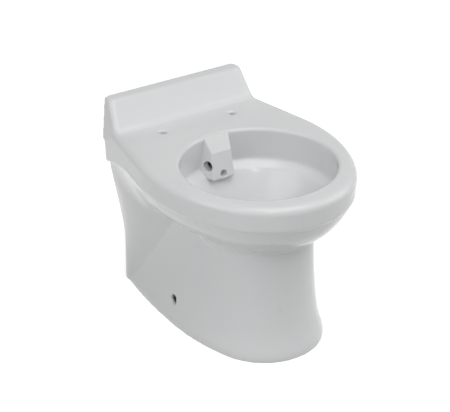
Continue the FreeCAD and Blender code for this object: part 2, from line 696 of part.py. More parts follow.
column_hollow, keel_hollow = column("column_hollow", SHELL, f"-{OVERRUN}", OVERRUN)
belly_hollow = belly("belly_hollow", keel_hollow, SHELL, OVERRUN)
rim_hollow_foot = rim_section(
    "rim_hollow_foot_outline", f"{SHOULDER} - 2", f"({SHELL} + {BAND_LEAN})", OVERRUN
)
rim_hollow_top = rim_section("rim_hollow_top_outline", DECK_UNDERSIDE, f"({SHELL} + 1)", OVERRUN)
rim_hollow = loft("rim_hollow", [rim_hollow_foot, rim_hollow_top], ruled=True)


def upstand_hollow_sketch():
    """Side view of the hollow behind the upstand."""
    sketch = side_sketch("upstand_hollow_profile")
    deck = DECK_UNDERSIDE
    polygon(
        sketch,
        [
            (f"{WALL} + {OVERRUN}", f"{deck} - 5"),
            (f"{WALL} + {OVERRUN}", f"Sizes.rim_height + Sizes.upstand_rise - {SHELL}"),
            (
                f"{WALL} - Sizes.upstand_depth + {SHELL}",
                f"Sizes.rim_height + Sizes.upstand_rise - {SHELL}",
            ),
            (f"{WALL} - Sizes.upstand_foot + 1.4 * {SHELL}", f"{deck} - 5"),
        ],
    )
    return sketch


upstand_hollow = slab(
    "upstand_hollow", upstand_hollow_sketch(), f"Sizes.upstand_width - 3 * {SHELL}"
)
hollow = joined("hollow", [belly_hollow, column_hollow, rim_hollow, upstand_hollow])
shell = less("shell", outside, hollow)

# Bowl, trap and flush inlet: the same forms make the china and, smaller, the waterway


def bowl_section(name, height, half_width, half_length, from_wall):
    """One level ellipse of the bowl, longer towards the front than across."""
    made = doc.addObject("Part::Ellipse", name)
    made.Placement = Placement(Vector(), Rotation(Vector(0, 0, 1), 90))
    bind(
        made,
        {
            "MajorRadius": half_length,
            "MinorRadius": half_width,
            "Placement.Base.y": f"{WALL} - ({from_wall})",
            "Placement.Base.z": height,
        },
    )
    return made


def bowl_form(name, grow, top):
    """The bowl: upright wall, sloping ledge, funnel into the trap. Grown all round by an amount."""
    ledge_top = "(Sizes.rim_height - Sizes.ledge_drop)"
    ledge_foot = f"({ledge_top} - Sizes.ledge_depth)"
    wall_half = "(Sizes.opening_width / 2 - Sizes.opening_draft)"
    wall_long = "(Sizes.opening_length / 2 - Sizes.opening_draft)"
    lip_half = f"({wall_half} - Sizes.ledge_inset)"
    lip_long = f"({wall_long} - Sizes.ledge_inset)"
    low = f"({TRAP_TOP} - 6)"
    low_radius = "(Sizes.trap_bore / 2 - 2)"
    mouth = bowl_section(
        f"{name}_mouth",
        top,
        f"Sizes.opening_width / 2 + {grow}",
        f"Sizes.opening_length / 2 + {grow}",
        "Sizes.opening_centre",
    )
    ledge = bowl_section(
        f"{name}_ledge",
        ledge_top,
        f"{wall_half} + {grow}",
        f"{wall_long} + {grow}",
        "Sizes.opening_centre",
    )
    funnel = []
    for order, part in enumerate((1, 0.75, 0.5, 0.25, 0)):
        swell = f"({part}^Sizes.bowl_fullness)"
        funnel.append(
            bowl_section(
                f"{name}_funnel_{order}",
                f"{low} + ({ledge_foot} - {low}) * {part}",
                f"{low_radius} + ({lip_half} - {low_radius}) * {swell} + {grow}",
                f"{low_radius} + ({lip_long} - {low_radius}) * {swell} + {grow}",
                f"Sizes.trap_leg + (Sizes.opening_centre - Sizes.trap_leg) * {swell}",
            )
        )
    upright = loft(f"{name}_upright", [mouth, ledge], ruled=True)
    step = loft(f"{name}_step", [ledge, funnel[0]], ruled=True)
    sump = loft(f"{name}_sump", funnel)
    return joined(name, [upright, step, sump])


def trap_path():
    """Middle line of the trap: down, round the low bend, up the riser, level to the outlet."""
    sketch = side_sketch("trap_path")
    radius = number("Sizes.trap_bend")
    angle = math.radians(number("Sizes.trap_rise_angle"))
    leg = number(WALL) - number("Sizes.trap_leg")
    low = number("Sizes.trap_low")
    outlet = number("Sizes.outlet_height")
    start = Vector(leg, low + radius + 8, 0)
    bend_start = Vector(leg, low + radius, 0)
    bend_centre = Vector(leg + radius, low + radius, 0)
    rise_start = bend_centre + Vector(math.sin(angle), -math.cos(angle), 0) * radius
    level_drop = radius * (1 - math.cos(angle))
    length = (outlet - level_drop - rise_start.y) / math.sin(angle)
    rise_end = rise_start + Vector(math.cos(angle), math.sin(angle), 0) * length
    turn_centre = rise_end + Vector(math.sin(angle), -math.cos(angle), 0) * radius
    level_start = Vector(turn_centre.x, outlet, 0)
    level_end = Vector(number(SPIGOT_END), outlet, 0)
    up = Vector(0, 0, 1)
    sketch.addGeometry(Part.LineSegment(start, bend_start), False)
    low_bend = Part.Circle(bend_centre, up, radius)
    sketch.addGeometry(Part.ArcOfCircle(low_bend, math.pi, 1.5 * math.pi + angle), False)
    sketch.addGeometry(Part.LineSegment(rise_start, rise_end), False)
    top_bend = Part.Circle(turn_centre, up, radius)
    sketch.addGeometry(Part.ArcOfCircle(top_bend, math.pi / 2, math.pi / 2 + angle), False)
    sketch.addGeometry(Part.LineSegment(level_start, level_end), False)
    for places in ((0, 2, 1, 1), (1, 2, 2, 1), (2, 2, 3, 2), (3, 1, 4, 1)):
        sketch.addConstraint(Sketcher.Constraint("Tangent", *places))
    sketch.addConstraint(Sketcher.Constraint("Vertical", 0))
    sketch.addConstraint(Sketcher.Constraint("Horizontal", 4))
    sketch.addConstraint(Sketcher.Constraint("Equal", 1, 3))
    dimension(sketch, "Radius", (1,), "Sizes.trap_bend")
    place_point(sketch, 0, 1, f"{WALL} - Sizes.trap_leg", f"{TRAP_TOP} + 8")
    dimension(sketch, "DistanceY", (-1, 1, 1, 3), TRAP_TOP)
    index = sketch.addConstraint(Sketcher.Constraint("Angle", -1, 1, 2, 1, angle))
    sketch.setExpression(f"Constraints[{index}]", "Sizes.trap_rise_angle * 1 deg")
    place_point(sketch, 4, 2, SPIGOT_END, "Sizes.outlet_height")
    return sketch


def trap_tube(name, path, diameter):
    """A round tube along the middle line of the trap."""
    ring = doc.addObject("Part::Circle", f"{name}_ring")
    bind(
        ring,
        {
            "Radius": f"({diameter}) / 2",
            "Placement.Base.y": f"{WALL} - Sizes.trap_leg",
            "Placement.Base.z": f"{TRAP_TOP} + 8",
        },
    )
    made = doc.addObject("Part::Sweep", name)
    made.Sections = [ring]
    made.Spine = (path, [f"Edge{order}" for order in range(1, 6)])
    made.Solid = True
    made.Frenet = True
    return made


BOWL_BACK = f"({WALL} - Sizes.opening_centre + Sizes.opening_length / 2)"
trap_line = trap_path()
trap_outside = trap_tube("trap_outside", trap_line, "Sizes.trap_bore + 2 * Sizes.trap_wall")
bowl_outside = bowl_form("bowl_outside", "Sizes.bowl_wall", "Sizes.rim_height - 5")
inlet_outside = rod(
    "inlet_outside",
    "Sizes.inlet_bore + 2 * Sizes.inlet_wall",
    f"{INLET_MOUTH} - {BOWL_BACK} + 4",
    TO_WALL,
    {"y": f"{BOWL_BACK} - 4", "z": "Sizes.inlet_height"},
)
casting = joined("casting", [shell, bowl_outside, trap_outside, inlet_outside])

bowl_water = bowl_form("bowl_water", "0", "Sizes.rim_height + 2")


def ledge_edges(edge):
    """The two ellipses at the top and the foot of the ledge."""
    heights = (
        number("Sizes.rim_height - Sizes.ledge_drop"),
        number("Sizes.rim_height - Sizes.ledge_drop - Sizes.ledge_depth"),
    )
    level = edge.BoundBox.ZLength < 0.01
    return level and any(abs(edge.BoundBox.ZMin - height) < 0.01 for height in heights)


bowl_water_soft = rounded("bowl_water_soft", bowl_water, ledge_edges, number("Sizes.ledge_edge"))
trap_water = trap_tube("trap_water", trap_line, "Sizes.trap_bore")
spigot_water = rod(
    "spigot_water",
    "Sizes.trap_bore",
    f"10 + {OVERRUN}",
    TO_WALL,
    {"y": f"{SPIGOT_END} - 10", "z": "Sizes.outlet_height"},
)
inlet_water = rod(
    "inlet_water",
    "Sizes.inlet_bore",
    f"Sizes.inlet_depth + {OVERRUN}",
    TO_WALL,
    {"y": f"{INLET_MOUTH} - Sizes.inlet_depth", "z": "Sizes.inlet_height"},
)
flush_water = rod(
    "flush_water",
    "Sizes.flush_channel",
    f"{INLET_MOUTH} - {BOWL_BACK} + 10",
    TO_WALL,
    {"y": f"{BOWL_BACK} - 10", "z": "Sizes.inlet_height"},
)

# Holes in the china


def softened_hole(name, diameter, depth, turn, places, mouth_turn, mouth):
    """A straight hole with a cone that softens its outer mouth."""
    straight = rod(f"{name}_bore", diameter, depth, turn, places)
    cone = doc.addObject("Part::Cone", f"{name}_mouth")
    cone.Placement = Placement(Vector(), mouth_turn)
    bind(
        cone,
        {
            "Radius1": f"({diameter}) / 2 + 2 * Sizes.hole_soften",
            "Radius2": f"({diameter}) / 2",
            "Height": "2 * Sizes.hole_soften",
        },
    )
    bind(cone, {f"Placement.Base.{axis}": text for axis, text in mouth.items()})
    return [straight, cone]


hole_tools = []
for side, sign in (("left", "-1"), ("right", "1")):
    hole_tools += softened_hole(
        f"{side}_seat_hole",
        "Sizes.seat_hole",
        f"Sizes.deck_thickness + {OVERRUN}",
        Rotation(),
        {
            "x": f"{sign} * Sizes.seat_hole_spacing / 2",
            "y": f"{WALL} - Sizes.seat_hole_gap",
            "z": f"{DECK_UNDERSIDE} - {OVERRUN / 2}",
        },
        Rotation(Vector(1, 0, 0), 180),
        {
            "x": f"{sign} * Sizes.seat_hole_spacing / 2",
            "y": f"{WALL} - Sizes.seat_hole_gap",
            "z": "Sizes.rim_height + Sizes.hole_soften",
        },
    )
    hole_tools += softened_hole(
        f"{side}_fixing_hole",
        "Sizes.fixing_hole",
        f"Sizes.shell_wall + 2 * {OVERRUN}",
        ALONG_X,
        {
            "x": f"{sign} * {SKIN_OUT} - (Sizes.shell_wall + 2 * {OVERRUN}) / 2",
            "y": FIXING_Y,
            "z": "Sizes.fixing_height",
        },
        Rotation(Vector(0, 1, 0), -90 * float(sign)),
        {
            "x": f"{sign} * ({SKIN_OUT} + Sizes.hole_soften)",
            "y": FIXING_Y,
            "z": "Sizes.fixing_height",
        },
    )
water_tools = [bowl_water_soft, trap_water, spigot_water, inlet_water, flush_water]
openings = joined("openings", water_tools + hole_tools)
pan_sharp = less("pan_sharp", casting, openings)


def opening_edges(edge):
    """The inner edge of the rim, where the deck meets the bowl."""
    box = edge.BoundBox
    level = abs(box.ZMin - number("Sizes.rim_height")) < 0.01 and box.ZLength < 0.01
    long_enough = max(box.XLength, box.YLength) > number("Sizes.opening_width") / 4
    back = number(WALL) - number("Sizes.opening_centre") + number("Sizes.opening_length") / 2
    front = number(WALL) - number("Sizes.opening_centre") - number("Sizes.opening_length") / 2
    inside = box.YMax < back + 1 and box.YMin > front - 1
    return level and long_enough and inside


pan = rounded("pan_solid", pan_sharp, opening_edges, number("Sizes.opening_edge"))
pan.Label = "pan"
doc.recompute()

# Flush distributor: a china block in front of the inlet, with a chamber and three ports

BLOCK_FOOT = "(Sizes.rim_height - Sizes.block_drop)"
BLOCK_TOP = "(Sizes.rim_height - Sizes.block_sink)"


def block_sketch():
    """Side view of the distributor: steep top, brow, front face, back inside the bowl wall."""
    sketch = side_sketch("block_profile")
    back = f"{BOWL_BACK} + Sizes.bowl_wall"
    polygon(
        sketch,
        [
            (back, BLOCK_FOOT),
            (back, BLOCK_TOP),
            (f"{WALL} - Sizes.block_top_gap", BLOCK_TOP),
            (f"{WALL} - Sizes.block_brow_gap", "Sizes.rim_height - Sizes.block_brow_drop"),
            (f"{WALL} - Sizes.block_foot_gap", BLOCK_FOOT),
        ],
    )
    return sketch


def block_plan(name, height, back_width, front_width):
    """Plan section of the distributor, narrower in front."""
    sketch = doc.addObject("Sketcher::SketchObject", name)
    bind(sketch, {"Placement.Base.z": height})
    back = f"{BOWL_BACK} + Sizes.opening_edge"
    front = f"{WALL} - Sizes.block_foot_gap"
    polygon(
        sketch,
        [
            (f"-{back_width} / 2", back),
            (f"{back_width} / 2", back),
            (f"{front_width} / 2", front),
            (f"-{front_width} / 2", front),
        ],
    )
    return sketch


block_slab = slab("block_slab", block_sketch(), "2 * Sizes.block_foot_back_width")
block_foot_plan = block_plan(
    "block_foot_plan", BLOCK_FOOT, "Sizes.block_foot_back_width", "Sizes.block_foot_front_width"
)
block_top_plan = block_plan(
    "block_top_plan", BLOCK_TOP, "Sizes.block_top_back_width", "Sizes.block_top_front_width"
)
block_sides = loft("block_sides", [block_foot_plan, block_top_plan], ruled=True)
block_sharp = shared("block_sharp", [block_slab, block_sides])


def block_edges(edge):
    """All edges round the top and front faces of the distributor, and those of its foot."""
    box = edge.BoundBox
    ahead = box.YMax < number(f"{WALL} - Sizes.block_top_gap") + 0.01
    brow = number("Sizes.rim_height - Sizes.block_brow_drop")
    touches_brow = abs(box.ZMin - brow) < 0.01 or abs(box.ZMax - brow) < 0.01
    front = number(f"{WALL} - Sizes.block_foot_gap")
    along_foot = box.ZMax < number(BLOCK_FOOT) + 0.01 and box.YMin < front + 0.01
    return (ahead and touches_brow) or along_foot


block_soft = rounded("block_soft", block_sharp, block_edges, number("Sizes.block_edge"))


def port(name, diameter, start_gap, drop, direction):
    """A drill for one port of the distributor, pointing along a direction."""
    return rod(
        name,
        diameter,
        "Sizes.block_foot_back_width",
        Rotation(Vector(0, 0, 1), direction),
        {"y": f"{WALL} - {start_gap}", "z": f"Sizes.rim_height - {drop}"},
    )


side_angle = math.radians(number("Sizes.side_port_angle"))
dip_angle = math.radians(number("Sizes.front_port_dip"))
ports = []
for side, sign in (("left", -1), ("right", 1)):
    aim = Vector(sign * math.cos(side_angle), -math.sin(side_angle), 0)
    ports.append(
        port(f"{side}_port", "Sizes.side_port", "Sizes.block_top_gap", "Sizes.side_port_drop", aim)
    )
front_aim = Vector(0, -math.cos(dip_angle), -math.sin(dip_angle))
ports.append(
    port(
        "front_port_drill",
        "Sizes.front_port",
        "Sizes.block_top_gap - 2",
        "Sizes.front_port_drop",
        front_aim,
    )
)
chamber = rod(
    "chamber",
    "Sizes.chamber_bore",
    "Sizes.block_brow_gap - Sizes.inlet_gap - Sizes.inlet_depth - 4",
    TO_WALL,
    {"y": f"{WALL} - Sizes.block_brow_gap + 4", "z": "Sizes.inlet_height"},
)
drills = joined("distributor_drills", ports + [chamber])
block_reach = bowl_form("block_reach", "0.75 * Sizes.bowl_wall", "Sizes.rim_height")
block_inside = shared("block_inside", [block_soft, block_reach])
block_seated = less("block_seated", block_inside, pan)
flush_distributor = less("flush_distributor_solid", block_seated, drills)
# The faces stay as cut: merging them again spoils the thin edge along the bowl wall
for thing in (block_inside, block_seated, flush_distributor):
    thing.Refine = False
flush_distributor.Label = "flush_distributor"

# Bodies for the hidden fittings


def new_body(label, places, turned_about=False):
    """A body placed by expressions, turned to face the other side when asked."""
    body = doc.addObject("PartDesign::Body", label)
    body.Label = label
    if turned_about:
        body.Placement = Placement(Vector(), Rotation(Vector(0, 0, 1), 180))
    bind(body, {f"Placement.Base.{axis}": text for axis, text in places.items()})
    return body


def body_sketch(body, name, role):
    """A sketch on one of the body's own origin planes."""
    plane = next(face for face in body.Origin.OriginFeatures if face.Role == role)
    sketch = body.newObject("Sketcher::SketchObject", name)
    sketch.AttachmentSupport = [(plane, "")]
    sketch.MapMode = "FlatFace"
    return sketch


def turned(label, role, corners, places, turned_about=False):
    """A body turned about the sketch's own first axis from a closed profile."""
    body = new_body(label, places, turned_about)
    sketch = body_sketch(body, f"{label}_profile", role)
    polygon(sketch, corners)
    spin = body.newObject("PartDesign::Revolution", f"{label}_turned")
    spin.Profile = sketch
    spin.ReferenceAxis = (sketch, ["H_Axis"])
    spin.Angle = 360
    return body


def drawn_out(body, name, sketch, length):
    """A pad that grows evenly to both sides of its sketch."""
    pad = body.newObject("PartDesign::Pad", name)
    pad.Profile = sketch
    pad.SideType = "Symmetric"
    bind(pad, {"Length": length})
    return pad


def drilled(body, name, role, across, along, diameter):
    """A round hole right through the body, square to one of its origin planes."""
    sketch = body_sketch(body, f"{name}_ring", role)
    centre = Vector(number(across), number(along), 0)
    circle = Part.Circle(centre, Vector(0, 0, 1), number(diameter) / 2)
    ring = sketch.addGeometry(circle, False)
    place_point(sketch, ring, 3, across, along)
    dimension(sketch, "Diameter", (ring,), diameter)
    pocket = body.newObject("PartDesign::Pocket", name)
    pocket.Profile = sketch
    pocket.Type = "ThroughAll"
    pocket.SideType = "Symmetric"
    return pocket


def hexagon(sketch, flats):
    """A hexagon about the sketch origin, by its size across flats."""
    corners = []
    for turn in range(6):
        angle = math.radians(60 * turn + 30)
        reach = f"{flats} / 2 / {math.cos(math.radians(30)):.9f}"
        corners.append(
            (f"{reach} * {math.cos(angle):.9f}", f"{reach} * {math.sin(angle):.9f}")
        )
    polygon(sketch, corners)


# Inlet seal and flush pipe, both on the axis of the flush inlet

PIPE_RADIUS = "Sizes.flush_pipe_size / 2"
LIP_RADIUS = f"({PIPE_RADIUS} + Sizes.slide_gap)"
RELIEF_RADIUS = f"({LIP_RADIUS} + Sizes.seal_relief)"
PLUG_RADIUS = "(Sizes.inlet_bore / 2 - Sizes.seat_gap)"
inlet_axis = {"y": INLET_MOUTH, "z": "Sizes.inlet_height"}

inlet_seal = turned(
    "inlet_seal",
    "YZ_Plane",
    [
        ("-Sizes.seal_length", LIP_RADIUS),
        ("-Sizes.seal_length", PLUG_RADIUS),
        ("0", PLUG_RADIUS),
        ("0", "Sizes.seal_flange / 2"),
        ("Sizes.seal_flange_depth", "Sizes.seal_flange / 2"),
        ("Sizes.seal_flange_depth", LIP_RADIUS),
        ("Sizes.seal_flange_depth - Sizes.seal_lip", LIP_RADIUS),
        ("Sizes.seal_flange_depth - Sizes.seal_lip", RELIEF_RADIUS),
        ("Sizes.seal_lip - Sizes.seal_length", RELIEF_RADIUS),
        ("Sizes.seal_lip - Sizes.seal_length", LIP_RADIUS),
    ],
    inlet_axis,
)

COLLAR_FRONT = "(Sizes.seal_flange_depth + Sizes.slide_gap)"
COLLAR_BACK = f"({COLLAR_FRONT} + Sizes.collar_thickness)"
PIPE_BORE = f"({PIPE_RADIUS} - Sizes.flush_pipe_wall)"

flush_pipe = turned(
    "flush_pipe",
    "YZ_Plane",
    [
        (f"{COLLAR_FRONT} - Sizes.flush_pipe_depth", PIPE_BORE),
        (f"{COLLAR_FRONT} - Sizes.flush_pipe_depth", PIPE_RADIUS),
        (COLLAR_FRONT, PIPE_RADIUS),
        (COLLAR_FRONT, "Sizes.collar_size / 2"),
        (COLLAR_BACK, "Sizes.collar_size / 2"),
        (COLLAR_BACK, PIPE_RADIUS),
        ("Sizes.inlet_gap", PIPE_RADIUS),
        ("Sizes.inlet_gap", PIPE_BORE),
    ],
    inlet_axis,
)

# Outlet connector and its seal, both on the axis of the outlet spigot

SOCKET_BACK = "Sizes.socket_stop"
SOCKET_FRONT = f"({SOCKET_BACK} - Sizes.socket_length)"
SOCKET_RADIUS = "Sizes.socket_size / 2"
SOIL_RADIUS = "Sizes.soil_pipe_size / 2"
CONE_BACK = f"({SOCKET_BACK} + Sizes.socket_cone)"
SPIGOT_RADIUS = "(Sizes.trap_bore / 2 + Sizes.trap_wall)"
FIN_RADIUS = f"({SPIGOT_RADIUS} + Sizes.slide_gap)"
SLEEVE_OUT = f"({SOCKET_RADIUS} - Sizes.seat_gap)"
SLEEVE_IN = f"({SLEEVE_OUT} - Sizes.outlet_seal_wall)"
outlet_axis = {"y": SPIGOT_END, "z": "Sizes.outlet_height"}

outlet_connector = turned(
    "outlet_connector",
    "YZ_Plane",
    [
        (SOCKET_FRONT, SOCKET_RADIUS),
        (SOCKET_FRONT, f"{SOCKET_RADIUS} + Sizes.soil_pipe_wall"),
        (SOCKET_BACK, f"{SOCKET_RADIUS} + Sizes.soil_pipe_wall"),
        (CONE_BACK, SOIL_RADIUS),
        ("Sizes.spigot_gap", SOIL_RADIUS),
        ("Sizes.spigot_gap", f"{SOIL_RADIUS} - Sizes.soil_pipe_wall"),
        (CONE_BACK, f"{SOIL_RADIUS} - Sizes.soil_pipe_wall"),
        (SOCKET_BACK, SOCKET_RADIUS),
    ],
    outlet_axis,
)

SEAL_FRONT = f"({SOCKET_FRONT} - Sizes.outlet_seal_fin)"
SEAL_BACK = f"({SOCKET_FRONT} + Sizes.outlet_seal_length)"
MIDDLE_FIN = f"({SOCKET_FRONT} + Sizes.outlet_seal_length / 2)"

outlet_seal = turned(
    "outlet_seal",
    "YZ_Plane",
    [
        (SEAL_FRONT, FIN_RADIUS),
        (SEAL_FRONT, f"{SOCKET_RADIUS} + Sizes.soil_pipe_wall"),
        (SOCKET_FRONT, f"{SOCKET_RADIUS} + Sizes.soil_pipe_wall"),
        (SOCKET_FRONT, SLEEVE_OUT),
        (SEAL_BACK, SLEEVE_OUT),
        (SEAL_BACK, FIN_RADIUS),
        (f"{SEAL_BACK} - Sizes.outlet_seal_fin", FIN_RADIUS),
        (f"{SEAL_BACK} - Sizes.outlet_seal_fin", SLEEVE_IN),
        (f"{MIDDLE_FIN} + Sizes.outlet_seal_fin / 2", SLEEVE_IN),
        (f"{MIDDLE_FIN} + Sizes.outlet_seal_fin / 2", FIN_RADIUS),
        (f"{MIDDLE_FIN} - Sizes.outlet_seal_fin / 2", FIN_RADIUS),
        (f"{MIDDLE_FIN} - Sizes.outlet_seal_fin / 2", SLEEVE_IN),
        (SOCKET_FRONT, SLEEVE_IN),
        (SOCKET_FRONT, FIN_RADIUS),
    ],
    outlet_axis,
)

# Floor fixings, the same on both sides

FERRULE_TIP = f"({SKIN_IN} + Sizes.ferrule_entry)"
FERRULE_TAIL = f"({FERRULE_TIP} - Sizes.ferrule_length)"
SCREW_TIP = f"({FERRULE_TIP} - Sizes.ferrule_floor)"
FERRULE_RADIUS = "(Sizes.fixing_hole / 2 - Sizes.slide_gap)"
SCREW_RADIUS = "Sizes.screw_size / 2"
KEY_RADIUS = "(0.7 * Sizes.screw_socket)"
FOOT_IN = f"({BRACKET_OUT} - Sizes.bracket_foot)"


def floor_bracket(label, turned_about):
    """A steel angle: a foot on the floor and a leg beside the fixing hole."""
    body = new_body(label, {"y": FIXING_Y}, turned_about)
    sketch = body_sketch(body, f"{label}_profile", "XZ_Plane")
    polygon(
        sketch,
        [
            (FOOT_IN, "0"),
            (BRACKET_OUT, "0"),
            (BRACKET_OUT, "Sizes.bracket_height"),
            (BRACKET_IN, "Sizes.bracket_height"),
            (BRACKET_IN, "Sizes.bracket_thickness"),
            (FOOT_IN, "Sizes.bracket_thickness"),
        ],
    )
    pad = drawn_out(body, f"{label}_angle", sketch, "Sizes.bracket_width")
    doc.recompute()
    inside = number(BRACKET_IN)
    thick = number("Sizes.bracket_thickness")
    bend = []
    for order, edge in enumerate(pad.Shape.Edges, start=1):
        spot = edge.CenterOfMass
        if abs(spot.x - inside) < 0.01 and abs(spot.z - thick) < 0.01:
            bend.append(f"Edge{order}")
    round_bend = body.newObject("PartDesign::Fillet", f"{label}_bend")
    round_bend.Base = (pad, bend)
    bind(round_bend, {"Radius": "Sizes.bracket_bend"})
    drilled(
        body,
        f"{label}_floor_hole",
        "XY_Plane",
        f"({FOOT_IN} + {BRACKET_IN} - Sizes.bracket_bend) / 2",
        "0",
        "Sizes.floor_hole",
    )
    drilled(
        body,
        f"{label}_screw_hole",
        "YZ_Plane",
        "0",
        "Sizes.fixing_height",
        "Sizes.screw_size + 1",
    )
    return body


def weld_nut(label, turned_about):
    """A hexagon nut on the inner side of the bracket leg."""
    sign = "-1" if turned_about else "1"
    middle = f"({BRACKET_IN} - Sizes.nut_thickness / 2)"
    places = {"x": f"{sign} * {middle}", "y": FIXING_Y, "z": "Sizes.fixing_height"}
    body = new_body(label, places, turned_about)
    sketch = body_sketch(body, f"{label}_hexagon", "YZ_Plane")
    hexagon(sketch, "Sizes.nut_flats")
    drawn_out(body, f"{label}_body", sketch, "Sizes.nut_thickness")
    drilled(
        body, f"{label}_bore", "YZ_Plane", "0", "0", "Sizes.screw_size + 2 * Sizes.thread_gap"
    )
    return body


def set_screw(label, turned_about):
    """A headless screw with a hexagon socket that looks out through the fixing hole."""
    places = {"y": FIXING_Y, "z": "Sizes.fixing_height"}
    body = new_body(label, places, turned_about)
    sketch = body_sketch(body, f"{label}_profile", "XY_Plane")
    tail = f"({SCREW_TIP} - Sizes.screw_length)"
    polygon(
        sketch,
        [
            (tail, "0"),
            (SCREW_TIP, "0"),
            (SCREW_TIP, f"{SCREW_RADIUS} - Sizes.screw_chamfer"),
            (f"{SCREW_TIP} - Sizes.screw_chamfer", SCREW_RADIUS),
            (f"{tail} + Sizes.screw_chamfer", SCREW_RADIUS),
            (tail, f"{SCREW_RADIUS} - Sizes.screw_chamfer"),
        ],
    )
    spin = body.newObject("PartDesign::Revolution", f"{label}_shank")
    spin.Profile = sketch
    spin.ReferenceAxis = (sketch, ["H_Axis"])
    spin.Angle = 360
    socket = body_sketch(body, f"{label}_socket_profile", "YZ_Plane")
    bind(socket, {"AttachmentOffset.Base.z": SCREW_TIP})
    hexagon(socket, "Sizes.screw_socket")
    pocket = body.newObject("PartDesign::Pocket", f"{label}_socket")
    pocket.Profile = socket
    bind(pocket, {"Length": "Sizes.screw_socket"})
    return body


def ferrule(label, turned_about):
    """A nylon sleeve on the screw end that stands in the china."""
    return turned(
        label,
        "XY_Plane",
        [
            (FERRULE_TAIL, f"{SCREW_RADIUS} + Sizes.seat_gap"),
            (FERRULE_TAIL, FERRULE_RADIUS),
            (f"{FERRULE_TIP} - Sizes.screw_chamfer", FERRULE_RADIUS),
            (FERRULE_TIP, f"{FERRULE_RADIUS} - Sizes.screw_chamfer"),
            (FERRULE_TIP, KEY_RADIUS),
            (SCREW_TIP, KEY_RADIUS),
            (SCREW_TIP, f"{SCREW_RADIUS} + Sizes.seat_gap"),
        ],
        {"y": FIXING_Y, "z": "Sizes.fixing_height"},
        turned_about,
    )


nodes = [pan, flush_distributor, inlet_seal, flush_pipe, outlet_connector, outlet_seal]
for side, turned_about in (("left", True), ("right", False)):
    nodes.append(floor_bracket(f"{side}_floor_bracket", turned_about))
    nodes.append(weld_nut(f"{side}_weld_nut", turned_about))
    nodes.append(set_screw(f"{side}_set_screw", turned_about))
    nodes.append(ferrule(f"{side}_ferrule", turned_about))
doc.recompute()

# Check everything, then write one file for each piece

for thing in doc.Objects:
    if "Invalid" in thing.State or "Error" in thing.State:
        raise RuntimeError(f"{thing.Label}: {thing.State} {thing.getStatusString()}")

for node in nodes:
    shape = node.Shape
    if shape.isNull() or not shape.isValid():
        raise RuntimeError(f"{node.Label}: no valid shape")
    if len(shape.Solids) != 1:
        raise RuntimeError(f"{node.Label}: {len(shape.Solids)} solids")
    shape.exportStep(f"parts/{node.Label}.step")
    print(node.Label, len(shape.Faces), round(shape.Volume / 1000, 2))
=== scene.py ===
import logging
import math
from collections.abc import Callable
from dataclasses import dataclass
from enum import Enum

import bpy
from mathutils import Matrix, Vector


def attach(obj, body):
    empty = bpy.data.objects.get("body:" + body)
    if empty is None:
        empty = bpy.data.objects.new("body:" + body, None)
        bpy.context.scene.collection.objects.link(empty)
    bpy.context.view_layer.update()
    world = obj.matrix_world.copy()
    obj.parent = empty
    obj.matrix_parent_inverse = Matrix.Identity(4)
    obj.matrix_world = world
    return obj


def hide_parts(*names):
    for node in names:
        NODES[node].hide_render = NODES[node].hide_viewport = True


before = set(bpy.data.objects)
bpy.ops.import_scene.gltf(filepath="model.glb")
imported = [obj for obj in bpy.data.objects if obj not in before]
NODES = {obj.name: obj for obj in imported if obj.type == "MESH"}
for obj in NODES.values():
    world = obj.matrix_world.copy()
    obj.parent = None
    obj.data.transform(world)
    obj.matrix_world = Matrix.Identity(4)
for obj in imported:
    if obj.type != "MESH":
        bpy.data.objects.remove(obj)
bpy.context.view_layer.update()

LOG = logging.getLogger("back_to_wall_toilet")

Point = tuple[float, float, float]
Colour = tuple[float, float, float]
Profile = list[tuple[float, float]]

# Lengths are in metres unless a docstring says millimetres
MM = 0.001
SAME_PLACE = 0.00001
SEAM_REACH = 0.000005
NODE_MERGE_REACH = 0.00002
DRILL_LENGTH = 0.03
DRILL_SIDES = 48
SHARP_EDGE = math.radians(32)
WHITE = (1.0, 1.0, 1.0, 1.0)


class Slot(Enum):
    """The record's material slots."""

    CHINA = "china"
    RUBBER = "black_rubber"
    WHITE_PLASTIC = "white_plastic"
    GREY_PLASTIC = "grey_plastic"
    ZINC = "zinc_steel"
    NYLON = "black_nylon"


class Body(Enum):
    """The rigid bodies that pieces ride on."""

    PAN = "pan_body"
    FLUSH_PIPE = "flush_pipe_body"
    OUTLET = "outlet_body"
    LEFT_FIXING = "left_fixing"
    RIGHT_FIXING = "right_fixing"


class Side(Enum):
    """The two sides of the pan, with the sign of their x."""

    LEFT = -1
    RIGHT = 1

    @property
    def word(self) -> str:
        """The side's name in lower case."""
        return self.name.lower()

    @property
    def fixing(self) -> Body:
        """The body of this side's screw and ferrule."""
        return Body.LEFT_FIXING if self is Side.LEFT else Body.RIGHT_FIXING


class Axis(Enum):
    """The directions that rods and turned pieces run in."""

    X = (1.0, 0.0, 0.0)
    Y = (0.0, 1.0, 0.0)
    Z = (0.0, 0.0, 1.0)

    @property
    def forward(self) -> Vector:
        """The direction as a vector."""
        return Vector(self.value)

    @property
    def sideways(self) -> Vector:
        """A direction square to this one."""
        return Vector((1.0, 0.0, 0.0)) if self is Axis.Z else Vector((0.0, 0.0, 1.0))

    @property
    def turn(self) -> Point:
        """The rotation that lays an upright rod along this direction."""
        quarter = math.pi / 2
        return {Axis.X: (0.0, quarter, 0.0), Axis.Y: (quarter, 0.0, 0.0), Axis.Z: (0.0, 0.0, 0.0)}[self]


# Finishes


